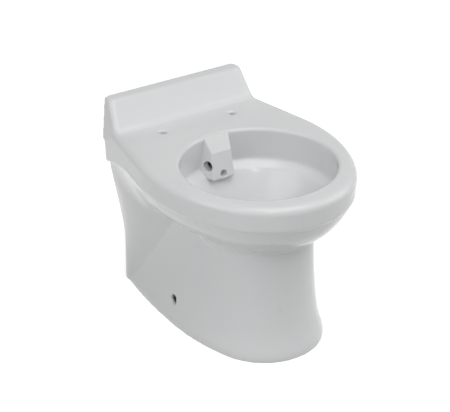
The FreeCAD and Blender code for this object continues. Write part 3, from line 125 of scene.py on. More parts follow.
class NodeBench:
    """A material and its node tree, with short ways to add and join nodes."""

    noise_low = 0.3
    noise_high = 0.7

    def __init__(self, name: str) -> None:
        """Start an empty node material.

        Args:
            name: the material's name.
        """
        self.material = bpy.data.materials.new(name)
        self.material.use_nodes = True
        self.tree = self.material.node_tree
        self.shader = self.tree.nodes["Principled BSDF"]
        self.place = self.add("ShaderNodeTexCoord").outputs["Object"]

    def add(self, kind: str, **sockets: object) -> bpy.types.Node:
        """Add a node and set its unlinked inputs.

        Args:
            kind: the node's type name.
            sockets: input values by socket name, with _ for a blank.

        Returns:
            The new node.
        """
        node = self.tree.nodes.new(kind)
        for name, value in sockets.items():
            node.inputs[name.replace("_", " ")].default_value = value
        return node

    def join(self, source: bpy.types.NodeSocket, target: bpy.types.NodeSocket) -> None:
        """Link an output to an input."""
        self.tree.links.new(source, target)

    def feed(self, socket: str, source: bpy.types.NodeSocket) -> None:
        """Link an output to one of the shader's inputs."""
        self.join(source, self.shader.inputs[socket])

    def fix(self, socket: str, value: object) -> None:
        """Set one of the shader's inputs to a constant."""
        self.shader.inputs[socket].default_value = value

    def noise(self, scale: float, detail: float = 2.0, rough: float = 0.5) -> bpy.types.NodeSocket:
        """Add a noise on object coordinates.

        Args:
            scale: cells in a metre.
            detail: octaves of the noise.
            rough: how strong the fine octaves are.

        Returns:
            The noise's factor output.
        """
        node = self.add("ShaderNodeTexNoise", Scale=scale, Detail=detail, Roughness=rough)
        self.join(self.place, node.inputs["Vector"])
        return node.outputs["Fac"]

    def spread(self, source: bpy.types.NodeSocket, low: float, high: float) -> bpy.types.NodeSocket:
        """Map the usual range of a noise to low..high.

        Args:
            source: the noise's factor.
            low: result at the low end.
            high: result at the high end.

        Returns:
            The mapped value.
        """
        ends = {"From_Min": self.noise_low, "From_Max": self.noise_high, "To_Min": low, "To_Max": high}
        node = self.add("ShaderNodeMapRange", **ends)
        self.join(source, node.inputs["Value"])
        return node.outputs["Result"]

    def blend(self, source: bpy.types.NodeSocket, low: Colour, high: Colour) -> bpy.types.NodeSocket:
        """Mix two colours by a factor.

        Args:
            source: the factor.
            low: colour at factor 0.
            high: colour at factor 1.

        Returns:
            The mixed colour.
        """
        node = self.add("ShaderNodeMix")
        node.data_type = "RGBA"
        self.join(source, node.inputs["Factor"])
        colour_inputs = [plug for plug in node.inputs if plug.type == "RGBA"]
        colour_inputs[0].default_value = (*low, 1.0)
        colour_inputs[1].default_value = (*high, 1.0)
        return next(plug for plug in node.outputs if plug.type == "RGBA")

    def relief(self, source: bpy.types.NodeSocket, height: float, strength: float) -> None:
        """Bump the surface by a factor.

        Args:
            source: the height factor.
            height: depth of the relief in metres.
            strength: strength of the bump.
        """
        bump = self.add("ShaderNodeBump", Strength=strength, Distance=height)
        self.join(source, bump.inputs["Height"])
        self.feed("Normal", bump.outputs["Normal"])


@dataclass(frozen=True)
class GlazedChina:
    """White vitreous china under a clear glaze that pools and dimples slightly."""

    pale: Colour = (0.868, 0.877, 0.880)
    deep: Colour = (0.846, 0.857, 0.864)
    pool_scale: float = 9.0
    pool_detail: float = 3.0
    gloss_scale: float = 27.0
    gloss_low: float = 0.10
    gloss_high: float = 0.17
    dimple_scale: float = 95.0
    dimple_detail: float = 1.0
    dimple_height: float = 0.00012
    dimple_strength: float = 0.35
    glaze_index: float = 1.5
    glaze_level: float = 0.38
    coat_weight: float = 0.06
    coat_roughness: float = 0.04

    def material(self) -> bpy.types.Material:
        """Make the material.

        Returns:
            The finish as a node material.
        """
        bench = NodeBench("glazed_china")
        pool = bench.noise(self.pool_scale, self.pool_detail)
        bench.feed("Base Color", bench.blend(pool, self.pale, self.deep))
        gloss = bench.noise(self.gloss_scale)
        bench.feed("Roughness", bench.spread(gloss, self.gloss_low, self.gloss_high))
        dimples = bench.noise(self.dimple_scale, self.dimple_detail)
        bench.relief(dimples, self.dimple_height, self.dimple_strength)
        bench.fix("IOR", self.glaze_index)
        bench.fix("Specular IOR Level", self.glaze_level)
        bench.fix("Coat Weight", self.coat_weight)
        bench.fix("Coat Roughness", self.coat_roughness)
        return bench.material


@dataclass(frozen=True)
class MouldedPlastic:
    """Moulded or extruded plastic with a faint grain and uneven gloss."""

    name: str
    pale: Colour
    deep: Colour
    gloss_low: float
    gloss_high: float
    cloud_scale: float = 28.0
    cloud_detail: float = 3.0
    gloss_scale: float = 140.0
    grain_scale: float = 900.0
    grain_height: float = 0.00004
    grain_strength: float = 0.4

    def material(self) -> bpy.types.Material:
        """Make the material.

        Returns:
            The finish as a node material.
        """
        bench = NodeBench(self.name)
        cloud = bench.noise(self.cloud_scale, self.cloud_detail)
        bench.feed("Base Color", bench.blend(cloud, self.pale, self.deep))
        gloss = bench.noise(self.gloss_scale)
        bench.feed("Roughness", bench.spread(gloss, self.gloss_low, self.gloss_high))
        bench.relief(bench.noise(self.grain_scale), self.grain_height, self.grain_strength)
        return bench.material


@dataclass(frozen=True)
class ZincPlate:
    """Zinc plated steel with spangle, fine scratches and duller patches."""

    pale: Colour = (0.66, 0.67, 0.69)
    deep: Colour = (0.50, 0.51, 0.53)
    spangle_scale: float = 260.0
    patch_scale: float = 60.0
    patch_detail: float = 4.0
    gloss_low: float = 0.28
    gloss_high: float = 0.46
    scratch_scale: float = 1500.0
    scratch_detail: float = 3.0
    scratch_rough: float = 0.7
    scratch_height: float = 0.00003
    scratch_strength: float = 0.3

    def material(self) -> bpy.types.Material:
        """Make the material.

        Returns:
            The finish as a node material.
        """
        bench = NodeBench("zinc_plate")
        spangle = bench.add("ShaderNodeTexVoronoi", Scale=self.spangle_scale)
        bench.join(bench.place, spangle.inputs["Vector"])
        bench.feed("Base Color", bench.blend(spangle.outputs["Distance"], self.pale, self.deep))
        patches = bench.noise(self.patch_scale, self.patch_detail)
        bench.feed("Roughness", bench.spread(patches, self.gloss_low, self.gloss_high))
        bench.fix("Metallic", 1.0)
        scratches = bench.noise(self.scratch_scale, self.scratch_detail, self.scratch_rough)
        bench.relief(scratches, self.scratch_height, self.scratch_strength)
        return bench.material


@dataclass(frozen=True)
class FinishRack:
    """Every finish of the object, each made once and kept by its slot."""

    finishes: dict[Slot, bpy.types.Material]

    @classmethod
    def mixed(cls) -> "FinishRack":
        """Make all the finishes.

        Returns:
            The rack that holds them.
        """
        rubber = MouldedPlastic(
            "black_rubber",
            pale=(0.028, 0.028, 0.029),
            deep=(0.045, 0.045, 0.046),
            gloss_low=0.52,
            gloss_high=0.72,
        )
        white = MouldedPlastic(
            "white_pipe_plastic",
            pale=(0.80, 0.80, 0.79),
            deep=(0.76, 0.76, 0.75),
            gloss_low=0.24,
            gloss_high=0.36,
        )
        grey = MouldedPlastic(
            "grey_pipe_plastic",
            pale=(0.30, 0.31, 0.32),
            deep=(0.26, 0.27, 0.28),
            gloss_low=0.28,
            gloss_high=0.42,
        )
        nylon = MouldedPlastic(
            "black_nylon",
            pale=(0.02, 0.02, 0.021),
            deep=(0.035, 0.035, 0.036),
            gloss_low=0.38,
            gloss_high=0.55,
        )
        recipes = {
            Slot.CHINA: GlazedChina(),
            Slot.RUBBER: rubber,
            Slot.WHITE_PLASTIC: white,
            Slot.GREY_PLASTIC: grey,
            Slot.ZINC: ZincPlate(),
            Slot.NYLON: nylon,
        }
        return cls({slot: recipe.material() for slot, recipe in recipes.items()})

    def by_slot(self, slot: Slot) -> bpy.types.Material:
        """The finish of a slot."""
        return self.finishes[slot]


# Bench work shared by the pieces


def pick_only(piece: bpy.types.Object) -> None:
    """Make one object the only selected and the active one.

    Args:
        piece: the object to pick.
    """
    bpy.ops.object.select_all(action="DESELECT")
    piece.select_set(True)
    bpy.context.view_layer.objects.active = piece


def open_mesh(piece: bpy.types.Object) -> None:
    """Go into edit mode on one object with all of its points selected.

    Args:
        piece: the object to open.
    """
    pick_only(piece)
    bpy.ops.object.mode_set(mode="EDIT")
    bpy.ops.mesh.select_mode(type="VERT")
    bpy.ops.mesh.select_all(action="SELECT")


def close_mesh() -> None:
    """Go back to object mode."""
    bpy.ops.object.mode_set(mode="OBJECT")


def pick_faces(piece: bpy.types.Object, wanted: Callable[[Vector, Vector], bool]) -> None:
    """Select the faces of an open mesh by their middle and normal.

    Args:
        piece: the object in edit mode.
        wanted: tells from a face's middle and normal whether to take it.
    """
    bpy.ops.mesh.select_mode(type="FACE")
    bpy.ops.mesh.select_all(action="DESELECT")
    close_mesh()
    for face in piece.data.polygons:
        face.select = wanted(piece.matrix_world @ face.center, face.normal)
    bpy.ops.object.mode_set(mode="EDIT")


def pick_edges(piece: bpy.types.Object, wanted: Callable[[Vector, Vector], bool]) -> None:
    """Select the edges of an open mesh by their two ends.

    Args:
        piece: the object in edit mode.
        wanted: tells from an edge's two ends whether to take it.
    """
    bpy.ops.mesh.select_mode(type="EDGE")
    bpy.ops.mesh.select_all(action="DESELECT")
    close_mesh()
    points = [piece.matrix_world @ vertex.co for vertex in piece.data.vertices]
    for edge in piece.data.edges:
        edge.select = wanted(points[edge.vertices[0]], points[edge.vertices[1]])
    bpy.ops.object.mode_set(mode="EDIT")


def settle(piece: bpy.types.Object) -> None:
    """Put an object's place into its mesh."""
    pick_only(piece)
    bpy.ops.object.transform_apply(location=True, rotation=True, scale=True)


def apply_modifier(piece: bpy.types.Object, kind: str, **settings: object) -> None:
    """Add a modifier, set it up and apply it.

    Args:
        piece: the object to change.
        kind: the modifier's type name.
        settings: the modifier's properties.
    """
    pick_only(piece)
    modifier = piece.modifiers.new(kind.lower(), kind)
    for name, value in settings.items():
        setattr(modifier, name, value)
    bpy.ops.object.modifier_apply(modifier=modifier.name)


def soften_edges(piece: bpy.types.Object, width: float) -> None:
    """Round every sharp edge a little.

    Args:
        piece: the object to change.
        width: width of the rounding.
    """
    apply_modifier(piece, "BEVEL", width=width, segments=2, limit_method="ANGLE", angle_limit=SHARP_EDGE)


def carve(piece: bpy.types.Object, tool: bpy.types.Object, action: str = "DIFFERENCE") -> None:
    """Cut a piece with another one, which is used up.

    Args:
        piece: the object to cut.
        tool: the object that cuts.
        action: the boolean's operation.
    """
    apply_modifier(piece, "BOOLEAN", operation=action, object=tool, solver="EXACT")
    bpy.data.objects.remove(tool)


def rod(name: str, middle: Point, axis: Axis, radius: float, length: float, sides: int) -> bpy.types.Object:
    """Add a round or many-sided rod.

    Args:
        name: the object's name.
        middle: the rod's middle.
        axis: the direction it runs in.
        radius: radius over its corners.
        length: its length.
        sides: number of its sides.

    Returns:
        The rod.
    """
    bpy.ops.object.select_all(action="DESELECT")
    bpy.ops.mesh.primitive_cylinder_add(
        vertices=sides, radius=radius, depth=length, location=middle, rotation=axis.turn
    )
    piece = bpy.context.object
    piece.name = name
    settle(piece)
    return piece


def drill(piece: bpy.types.Object, middle: Point, axis: Axis, radius: float) -> None:
    """Drill a round hole right through a small piece.

    Args:
        piece: the object to drill.
        middle: a point on the hole's axis.
        axis: the direction it runs in.
        radius: the hole's radius.
    """
    carve(piece, rod("drill", middle, axis, radius, DRILL_LENGTH, DRILL_SIDES))


def drawn_line(name: str, corners: list[Point]) -> bpy.types.Object:
    """Draw a line of edges from corner to corner.

    Args:
        name: the object's name.
        corners: the line's points in order.

    Returns:
        The line, in edit mode, with its last point selected.
    """
    bpy.ops.object.select_all(action="DESELECT")
    bpy.ops.mesh.primitive_plane_add(size=0.01, location=corners[0])
    line = bpy.context.object
    line.name = name
    settle(line)
    open_mesh(line)
    bpy.ops.mesh.merge(type="CENTER")
    for here, there in zip(corners, corners[1:]):
        step = Vector(there) - Vector(here)
        bpy.ops.mesh.extrude_vertices_move(TRANSFORM_OT_translate={"value": step})
    return line


def copied_node(node: str, name: str) -> bpy.types.Object:
    """Copy a node's mesh, merge its loose triangles and drop its stored normals.

    Args:
        node: the node to copy.
        name: the new object's name.

    Returns:
        The copy.
    """
    mesh = NODES[node].data.copy()
    mesh.materials.clear()
    piece = bpy.data.objects.new(name, mesh)
    bpy.context.scene.collection.objects.link(piece)
    open_mesh(piece)
    bpy.ops.mesh.remove_doubles(threshold=NODE_MERGE_REACH)
    close_mesh()
    bpy.ops.mesh.customdata_custom_splitnormals_clear()
    return piece


def hand_over(
    piece: bpy.types.Object, node: str, body: Body, slot: Slot, rack: FinishRack, angle: float = 40.0
) -> None:
    """Shade a finished piece, give it its finish and set it in the frame.

    Args:
        piece: the finished object.
        node: the node it stands for.
        body: the body it rides on.
        slot: its material slot.
        rack: the finishes.
        angle: edges sharper than this many degrees stay sharp.
    """
    pick_only(piece)
    bpy.ops.object.shade_smooth_by_angle(angle=math.radians(angle))
    piece.data.materials.clear()
    piece.data.materials.append(rack.by_slot(slot))
    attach(piece, body.value)
    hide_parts(node)
    LOG.info("%s stands for %s, %d faces", piece.name, node, len(piece.data.polygons))


@dataclass(frozen=True)
class Lathe:
    """Turns sections, drawn in millimetres as (along, radius), about an axis."""

    axis: Axis
    centre: Point
    facing: float = 1.0
    steps: int = 96

    def turned(self, name: str, section: Profile, edge: float) -> bpy.types.Object:
        """Turn a ring from a closed section.

        Args:
            name: the object's name.
            section: the section's corners.
            edge: rounding of its edges in metres.

        Returns:
            The ring.
        """
        ring = self.spun(name, [*section, section[0]])
        soften_edges(ring, edge)
        return ring

    def plug(self, name: str, radius: float, depth: float, spread: float = 1.0) -> bpy.types.Object:
        """Turn a solid drill with a flare that softens the mouth of its hole.

        Args:
            name: the object's name.
            radius: the hole's radius in millimetres.
            depth: its depth in millimetres.
            spread: how much wider than usual the mouth is softened.

        Returns:
            The drill, whose zero is the surface that it goes into.
        """
        outer_end = -4.0
        slope = [(outer_end, 2.6), (-0.4, 1.6), (0.7, 0.5), (2.2, 0.0)]
        flare = [(along, radius + spread * extra) for along, extra in slope]
        return self.spun(name, [(outer_end, 0.0), *flare, (depth, radius), (depth, 0.0)])

    def spun(self, name: str, section: Profile) -> bpy.types.Object:
        """Draw a section and spin it round the axis.

        Args:
            name: the object's name.
            section: the line's corners.

        Returns:
            The spun object.
        """
        forward = self.axis.forward * self.facing * MM
        upward = self.axis.sideways * MM
        corners = [Vector(self.centre) + forward * along + upward * radius for along, radius in section]
        piece = drawn_line(name, [tuple(corner) for corner in corners])
        bpy.ops.mesh.select_all(action="SELECT")
        bpy.ops.mesh.spin(
            steps=self.steps, angle=2 * math.pi, center=self.centre, axis=tuple(self.axis.forward)
        )
        bpy.ops.mesh.select_all(action="SELECT")
        bpy.ops.mesh.remove_doubles(threshold=SEAM_REACH)
        bpy.ops.mesh.normals_make_consistent(inside=False)
        close_mesh()
        return piece


class TurnedPiece:
    """A piece that a lathe turns from its section."""

    edge: float

    def section(self) -> Profile:
        """The section's corners as (along, radius) in millimetres."""
        raise NotImplementedError

    def turned(self, lathe: Lathe, name: str) -> bpy.types.Object:
        """Turn the piece."""
        return lathe.turned(name, self.section(), self.edge)


# China


@dataclass
class ChinaCasting:
    """The slip-cast pan and the flush piece stuck into its bowl, softened all over as glaze does."""

    pan_grain: float = 0.0020
    pan_rounds: int = 4
    pan_crease_angle: float = 55.0
    most_triangles: int = 188000
    keel_height: float = 0.222
    keel_reach: float = 0.026
    keel_rounds: int = 24
    flush_grain: float = 0.0006
    flush_rounds: int = 3
    flush_crease_angle: float = 180.0
    seat_hole: float = 0.007
    seat_hole_depth: float = 0.024
    seat_hole_spacing: float = 0.155
    seat_hole_place: float = 0.148
    deck_height: float = 0.348
    fixing_hole: float = 0.009
    fixing_hole_depth: float = 0.016
    fixing_spread: float = 1.7
    fixing_place: Point = (0.12136, 0.050, 0.047)
    hole_steps: int = 64

    def build(self, rack: FinishRack) -> None:
        """Model and dress both pieces.

        Args:
            rack: the finishes.
        """
        pan = copied_node("pan", "glazed_pan")
        self.remesh(pan, self.pan_grain, self.pan_rounds)
        self.ease_keel(pan)
        self.thin_out(pan)
        self.drill_holes(pan)
        hand_over(pan, "pan", Body.PAN, Slot.CHINA, rack, self.pan_crease_angle)
        flush = copied_node("flush_distributor", "glazed_distributor")
        self.remesh(flush, self.flush_grain, self.flush_rounds)
        self.thin_out(flush)
        hand_over(flush, "flush_distributor", Body.PAN, Slot.CHINA, rack, self.flush_crease_angle)

    def remesh(self, piece: bpy.types.Object, grain: float, rounds: int) -> None:
        """Give a piece an even mesh and smooth it.

        Args:
            piece: the object to change.
            grain: size of the even mesh.
            rounds: how often it is smoothed.
        """
        piece.data.remesh_voxel_size = grain
        piece.data.use_remesh_preserve_volume = False
        piece.data.use_remesh_fix_poles = False
        pick_only(piece)
        bpy.ops.object.voxel_remesh()
        apply_modifier(piece, "SMOOTH", factor=0.5, iterations=rounds)

    def ease_keel(self, pan: bpy.types.Object) -> None:
        """Smooth the line where the belly meets the column more than the rest.

        Args:
            pan: the softened pan.
        """
        zone = pan.vertex_groups.new(name="keel")
        for vertex in pan.data.vertices:
            nearness = 1.0 - abs(vertex.co.z - self.keel_height) / self.keel_reach
            if nearness > 0.0:
                zone.add([vertex.index], min(1.0, 2.0 * nearness), "REPLACE")
        apply_modifier(pan, "SMOOTH", factor=0.5, iterations=self.keel_rounds, vertex_group=zone.name)
        pan.vertex_groups.clear()

    def thin_out(self, piece: bpy.types.Object) -> None:
        """Bring a dense mesh down in number of faces.

        Args:
            piece: the dense object.
        """
        triangles = 2 * len(piece.data.polygons)
        if triangles > self.most_triangles:
            apply_modifier(piece, "DECIMATE", ratio=self.most_triangles / triangles)

    def drill_holes(self, pan: bpy.types.Object) -> None:
        """Open the seat and fixing holes again at their true size, with softened mouths.

        Args:
            pan: the softened pan.
        """
        for side in Side:
            seat = (side.value * self.seat_hole_spacing / 2, self.seat_hole_place, self.deck_height)
            down = Lathe(Axis.Z, seat, facing=-1.0, steps=self.hole_steps)
            carve(pan, down.plug("seat_drill", self.seat_hole / MM, self.seat_hole_depth / MM))
            across, along, height = self.fixing_place
            mouth = (side.value * across, along, height)
            inward = Lathe(Axis.X, mouth, facing=-side.value, steps=self.hole_steps)
            depth = self.fixing_hole_depth / MM
            carve(pan, inward.plug("fixing_drill", self.fixing_hole / MM, depth, self.fixing_spread))


# Pipes and seals


@dataclass(frozen=True)
class InletSeal(TurnedPiece):
    """The rubber sleeve in the flush inlet, in millimetres from the inlet's mouth."""

    lip: float = 22.3
    bore: float = 24.8
    nose: float = 27.0
    sleeve: float = 27.48
    flange: float = 35.0
    inner_end: float = -38.0
    flange_end: float = 5.0
    edge: float = 0.0007

    def section(self) -> Profile:
        """Draw the flanged sleeve with a lip at each end of its bore.

        Returns:
            The section's corners as (along, radius).
        """
        nose = [(self.inner_end, self.lip), (self.inner_end, self.nose), (self.inner_end + 1.0, self.sleeve)]
        flange = [(0.0, self.sleeve), (0.0, self.flange), (self.flange_end, self.flange)]
        outer_lip = [(self.flange_end, self.lip + 0.6), (4.0, self.lip), (2.0, self.lip), (2.0, self.bore)]
        inner_lip = [(self.inner_end + 3.0, self.bore), (self.inner_end + 2.0, self.lip)]
        return nose + flange + outer_lip + inner_lip


@dataclass(frozen=True)
class FlushPipe(TurnedPiece):
    """The tube from the cistern, in millimetres from the inlet's mouth."""

    bore: float = 20.0
    nose: float = 21.0
    outside: float = 22.0
    collar: float = 28.0
    collar_bevel: float = 0.6
    tip: float = -49.7
    taper_end: float = -46.0
    collar_start: float = 5.3
    collar_end: float = 9.3
    free_end: float = 62.0
    edge: float = 0.0006

    def section(self) -> Profile:
        """Draw the tube with its tapered leading end and the collar that stops it.

        Returns:
            The section's corners as (along, radius).
        """
        start = self.collar_start
        end = self.collar_end
        bevel = self.collar_bevel
        shoulder = self.collar - bevel
        taper = [(self.tip, self.bore), (self.tip, self.nose), (self.taper_end, self.outside)]
        collar_front = [(start, self.outside), (start, shoulder), (start + bevel, self.collar)]
        collar_back = [(end - bevel, self.collar), (end, shoulder), (end, self.outside)]
        back = [(self.free_end, self.outside), (self.free_end, self.bore)]
        return taper + collar_front + collar_back + back


@dataclass(frozen=True)
class OutletSeal(TurnedPiece):
    """The finned rubber seal on the spout, in millimetres from the spout's end."""

    fin: float = 51.3
    front_lip: float = 51.6
    bore: float = 57.98
    sleeve: float = 61.98
    flange: float = 65.0
    flange_bevel: float = 0.6
    front: float = -51.0
    flange_back: float = -48.0
    back: float = -8.0
    edge: float = 0.0006

    def section(self) -> Profile:
        """Draw the sleeve with an end flange and three fins that lean on the spout.

        Returns:
            The section's corners as (along, radius).
        """
        front = self.front
        bevel = self.flange_bevel
        face = [(front, self.front_lip), (front, self.flange - bevel), (front + bevel, self.flange)]
        sleeve = [(self.flange_back, self.flange), (self.flange_back, self.sleeve), (self.back, self.sleeve)]
        back_fin = [(self.back, self.fin), (self.back - 1.4, self.fin), (self.back - 3.0, self.bore)]
        middle_fin = [(-26.5, self.bore), (-28.0, self.fin), (-29.5, self.fin), (-29.5, self.bore)]
        front_fin = [(self.flange_back, self.bore), (self.flange_back - 1.6, self.fin)]
        return face + sleeve + back_fin + middle_fin + front_fin


@dataclass(frozen=True)
class OutletConnector(TurnedPiece):
    """The socket over the spout and the pipe to the wall, in millimetres from the spout's end."""

    pipe_bore: float = 52.0
    pipe_outside: float = 55.0
    socket_bore: float = 62.0
    socket_outside: float = 65.0
    mouth: float = -48.0
    cone_start: float = 4.0
    cone_end: float = 12.0
    wall_end: float = 55.0
    groove_places: tuple[float, ...] = (-36.0, -24.0, -12.0)
    groove_depth: float = 0.8
    groove_floor: float = 1.6
    groove_width: float = 3.2
    edge: float = 0.0006

    def section(self) -> Profile:
        """Draw the socket with its grooves, the cone behind it and the pipe.

        Returns:
            The section's corners as (along, radius).
        """
        mouth = [(self.mouth, self.socket_bore), (self.mouth, self.socket_outside)]
        grooves = [corner for along in self.groove_places for corner in self.groove(along)]
        outside = [(self.cone_start, self.socket_outside), (self.cone_end, self.pipe_outside)]
        end = [(self.wall_end, self.pipe_outside), (self.wall_end, self.pipe_bore)]
        inside = [(self.cone_end, self.pipe_bore), (self.cone_start, self.socket_bore)]
        return mouth + grooves + outside + end + inside

    def groove(self, along: float) -> Profile:
        """Draw one shallow groove pressed round the socket.

        Args:
            along: where its middle is.

        Returns:
            The groove's corners as (along, radius).
        """
        top = self.socket_outside
        low = top - self.groove_depth
        half_floor = self.groove_floor / 2
        half_width = self.groove_width / 2
        into = [(along - half_width, top), (along - half_floor, low)]
        out = [(along + half_floor, low), (along + half_width, top)]
        return into + out


@dataclass
class PipeWork:
    """The flush pipe and the outlet connector behind the pan, with their seals."""

    inlet_mouth: Point = (0.0, 0.182, 0.290)
    spout_end: Point = (0.0, 0.189, 0.185)
    outlet_steps: int = 128

    def build(self, rack: FinishRack) -> None:
        """Turn and dress all four pieces.

        Args:
            rack: the finishes.
        """
        inlet = Lathe(Axis.Y, self.inlet_mouth)
        outlet = Lathe(Axis.Y, self.spout_end, steps=self.outlet_steps)
        lip_seal = InletSeal().turned(inlet, "inlet_lip_seal")
        hand_over(lip_seal, "inlet_seal", Body.PAN, Slot.RUBBER, rack)
        tube = FlushPipe().turned(inlet, "flush_inlet_tube")
        hand_over(tube, "flush_pipe", Body.FLUSH_PIPE, Slot.WHITE_PLASTIC, rack)
        finned_seal = OutletSeal().turned(outlet, "outlet_finned_seal")
        hand_over(finned_seal, "outlet_seal", Body.OUTLET, Slot.RUBBER, rack)
        connector = OutletConnector().turned(outlet, "outlet_pan_connector")
        hand_over(connector, "outlet_connector", Body.OUTLET, Slot.GREY_PLASTIC, rack)


# Floor fixings


@dataclass(frozen=True)
class Ferrule(TurnedPiece):
    """The nylon bush that centres the screw in the side hole, in millimetres from its inner end."""

    length: float = 12.0
    radius: float = 8.7
    shoulder: float = 0.5
    tip: float = 1.2
    bore: float = 5.02
    lead: float = 0.6
    floor: float = 3.0
    key_hole: float = 3.5
    edge: float = 0.0003

    def section(self) -> Profile:
        """Draw the bore for the screw, the floor with the key hole and the bevelled tip.

        Returns:
            The section's corners as (along, radius).
        """
        length = self.length
        radius = self.radius
        floor = length - self.floor
        back = [(0.0, self.bore + self.lead), (0.0, radius - self.shoulder), (self.shoulder, radius)]
        front = [(length - self.tip, radius), (length, radius - self.tip), (length, self.key_hole)]
        inside = [(floor, self.key_hole), (floor, self.bore), (self.lead, self.bore)]
        return back + front + inside


@dataclass
class FloorFixing:
    """One side's bracket, weld nut, set screw and ferrule; distances across are from the pan's middle."""

    side: Side
    middle_y: float = 0.050
    screw_height: float = 0.047
    bracket_inside: float = 0.090
    bracket_outside: float = 0.094
    foot_inside: float = 0.056
    leg_height: float = 0.068
    bracket_width: float = 0.050
    plate: float = 0.004
    bend: float = 0.005
    bend_segments: int = 7
    corner: float = 0.007
    corner_segments: int = 6
    bracket_edge: float = 0.0004
    floor_hole: float = 0.0045
    floor_hole_place: float = 0.0705
    screw_hole: float = 0.0055
    nut_flats: float = 0.017
    nut_inside: float = 0.082
    nut_clearance: float = 0.00005
    cutter_edge: float = 0.00001
    thread_radius: float = 0.005
    thread_pitch: float = 0.0015
    thread_depth: float = 0.61
    thread_steps: int = 40
    screw_inside: float = 0.07736
    screw_outside: float = 0.11336
    ferrule_inside: float = 0.10436
    turned_steps: int = 64
    nut_edge: float = 0.0003

    def build(self, rack: FinishRack) -> None:
        """Model and dress the four pieces.

        Args:
            rack: the finishes.
        """
        word = self.side.word
        hand_over(self.bent_bracket(), f"{word}_floor_bracket", Body.PAN, Slot.ZINC, rack)
        hand_over(self.welded_nut(), f"{word}_weld_nut", Body.PAN, Slot.ZINC, rack)
        hand_over(self.threaded_screw(), f"{word}_set_screw", self.side.fixing, Slot.ZINC, rack)
        ferrule = Ferrule().turned(self.turning_lathe(self.ferrule_inside), f"{word}_nylon_ferrule")
        hand_over(ferrule, f"{word}_ferrule", self.side.fixing, Slot.NYLON, rack)

    def at(self, across: float, height: float) -> Point:
        """A point on this side's middle plane."""
        return (self.side.value * across, self.middle_y, height)

    def turning_lathe(self, across: float) -> Lathe:
        """A lathe on the screw's axis that faces outwards, with its zero at a distance across."""
        middle = self.at(across, self.screw_height)
        return Lathe(Axis.X, middle, facing=self.side.value, steps=self.turned_steps)

    def bent_bracket(self) -> bpy.types.Object:
        """Model the angle of plate: foot, bend, upright leg, rounded corners and two holes.

        Returns:
            The bracket.
        """
        bpy.ops.object.select_all(action="DESELECT")
        length = self.bracket_outside - self.foot_inside
        bpy.ops.mesh.primitive_cube_add(
            size=1.0,
            location=self.at(self.foot_inside + length / 2, self.plate / 2),
            scale=(length, self.bracket_width, self.plate),
        )
        bracket = bpy.context.object
        bracket.name = f"{self.side.word}_bent_bracket"
        settle(bracket)
        open_mesh(bracket)
        bpy.ops.mesh.bisect(plane_co=self.at(self.bracket_inside, 0.0), plane_no=(1.0, 0.0, 0.0))
        pick_faces(bracket, lambda middle, normal: normal.z > 0.9 and abs(middle.x) > self.bracket_inside)
        rise = Vector((0.0, 0.0, self.leg_height - self.plate))
        bpy.ops.mesh.extrude_region_move(TRANSFORM_OT_translate={"value": rise})
        self.round_bend(bracket)
        self.round_corners(bracket)
        close_mesh()
        drill(bracket, self.at(self.floor_hole_place, 0.0), Axis.Z, self.floor_hole)
        drill(bracket, self.at(self.bracket_inside, self.screw_height), Axis.X, self.screw_hole)
        soften_edges(bracket, self.bracket_edge)
        return bracket

    def round_bend(self, bracket: bpy.types.Object) -> None:
        """Round the inside and the outside of the bend.

        Args:
            bracket: the angle in edit mode.
        """
        for across, height, radius in (
            (self.bracket_inside, self.plate, self.bend),
            (self.bracket_outside, 0.0, self.bend + self.plate / 2),
        ):
            fold = Vector((across, height))

            def on_fold(one: Vector, two: Vector) -> bool:
                """Whether an edge lies along the fold."""
                return all((Vector((abs(p.x), p.z)) - fold).length < SAME_PLACE for p in (one, two))

            pick_edges(bracket, on_fold)
            bpy.ops.mesh.bevel(offset=radius, segments=self.bend_segments, affect="EDGES")

    def round_corners(self, bracket: bpy.types.Object) -> None:
        """Round the free corners of the foot and of the leg.

        Args:
            bracket: the angle in edit mode.
        """
        half = self.bracket_width / 2

        def at_corner(one: Vector, two: Vector) -> bool:
            """Whether an edge runs through the plate at a free corner."""
            ends = (one, two)
            through = (one - two).length < self.plate + SAME_PLACE
            on_side = all(abs(abs(p.y - self.middle_y) - half) < SAME_PLACE for p in ends)
            on_foot = all(abs(abs(p.x) - self.foot_inside) < SAME_PLACE for p in ends)
            on_top = all(abs(p.z - self.leg_height) < SAME_PLACE for p in ends)
            return through and on_side and (on_foot or on_top)

        pick_edges(bracket, at_corner)
        bpy.ops.mesh.bevel(offset=self.corner, segments=self.corner_segments, affect="EDGES")

    def welded_nut(self) -> bpy.types.Object:
        """Model the six-sided nut with its bore and turned-down corners.

        Returns:
            The nut.
        """
        thick = self.bracket_inside - self.nut_inside
        middle = self.at(self.nut_inside + thick / 2, self.screw_height)
        over_corners = self.nut_flats / math.sqrt(3)
        nut = rod(f"{self.side.word}_hexagon_nut", middle, Axis.X, over_corners, thick, 6)
        length = thick / MM
        wide = over_corners / MM
        outer = wide + 4.0
        cone = [(-1.0, wide - 2.2), (length, wide + 1.4), (length, outer), (-1.0, outer)]
        corner_cut = self.turning_lathe(self.nut_inside).turned("corner_cut", cone, self.cutter_edge)
        carve(nut, corner_cut)
        drill(nut, middle, Axis.X, self.thread_radius + self.nut_clearance)
        soften_edges(nut, self.nut_edge)
        return nut

    def threaded_screw(self) -> bpy.types.Object:
        """Model the set screw: a thread wound along it, cut to the plain screw's ends and socket.

        Returns:
            The screw.
        """
        screw = self.wound_thread()
        self.trim_ends(screw)
        carve(screw, copied_node(f"{self.side.word}_set_screw", "plain_screw"), "INTERSECT")
        return screw

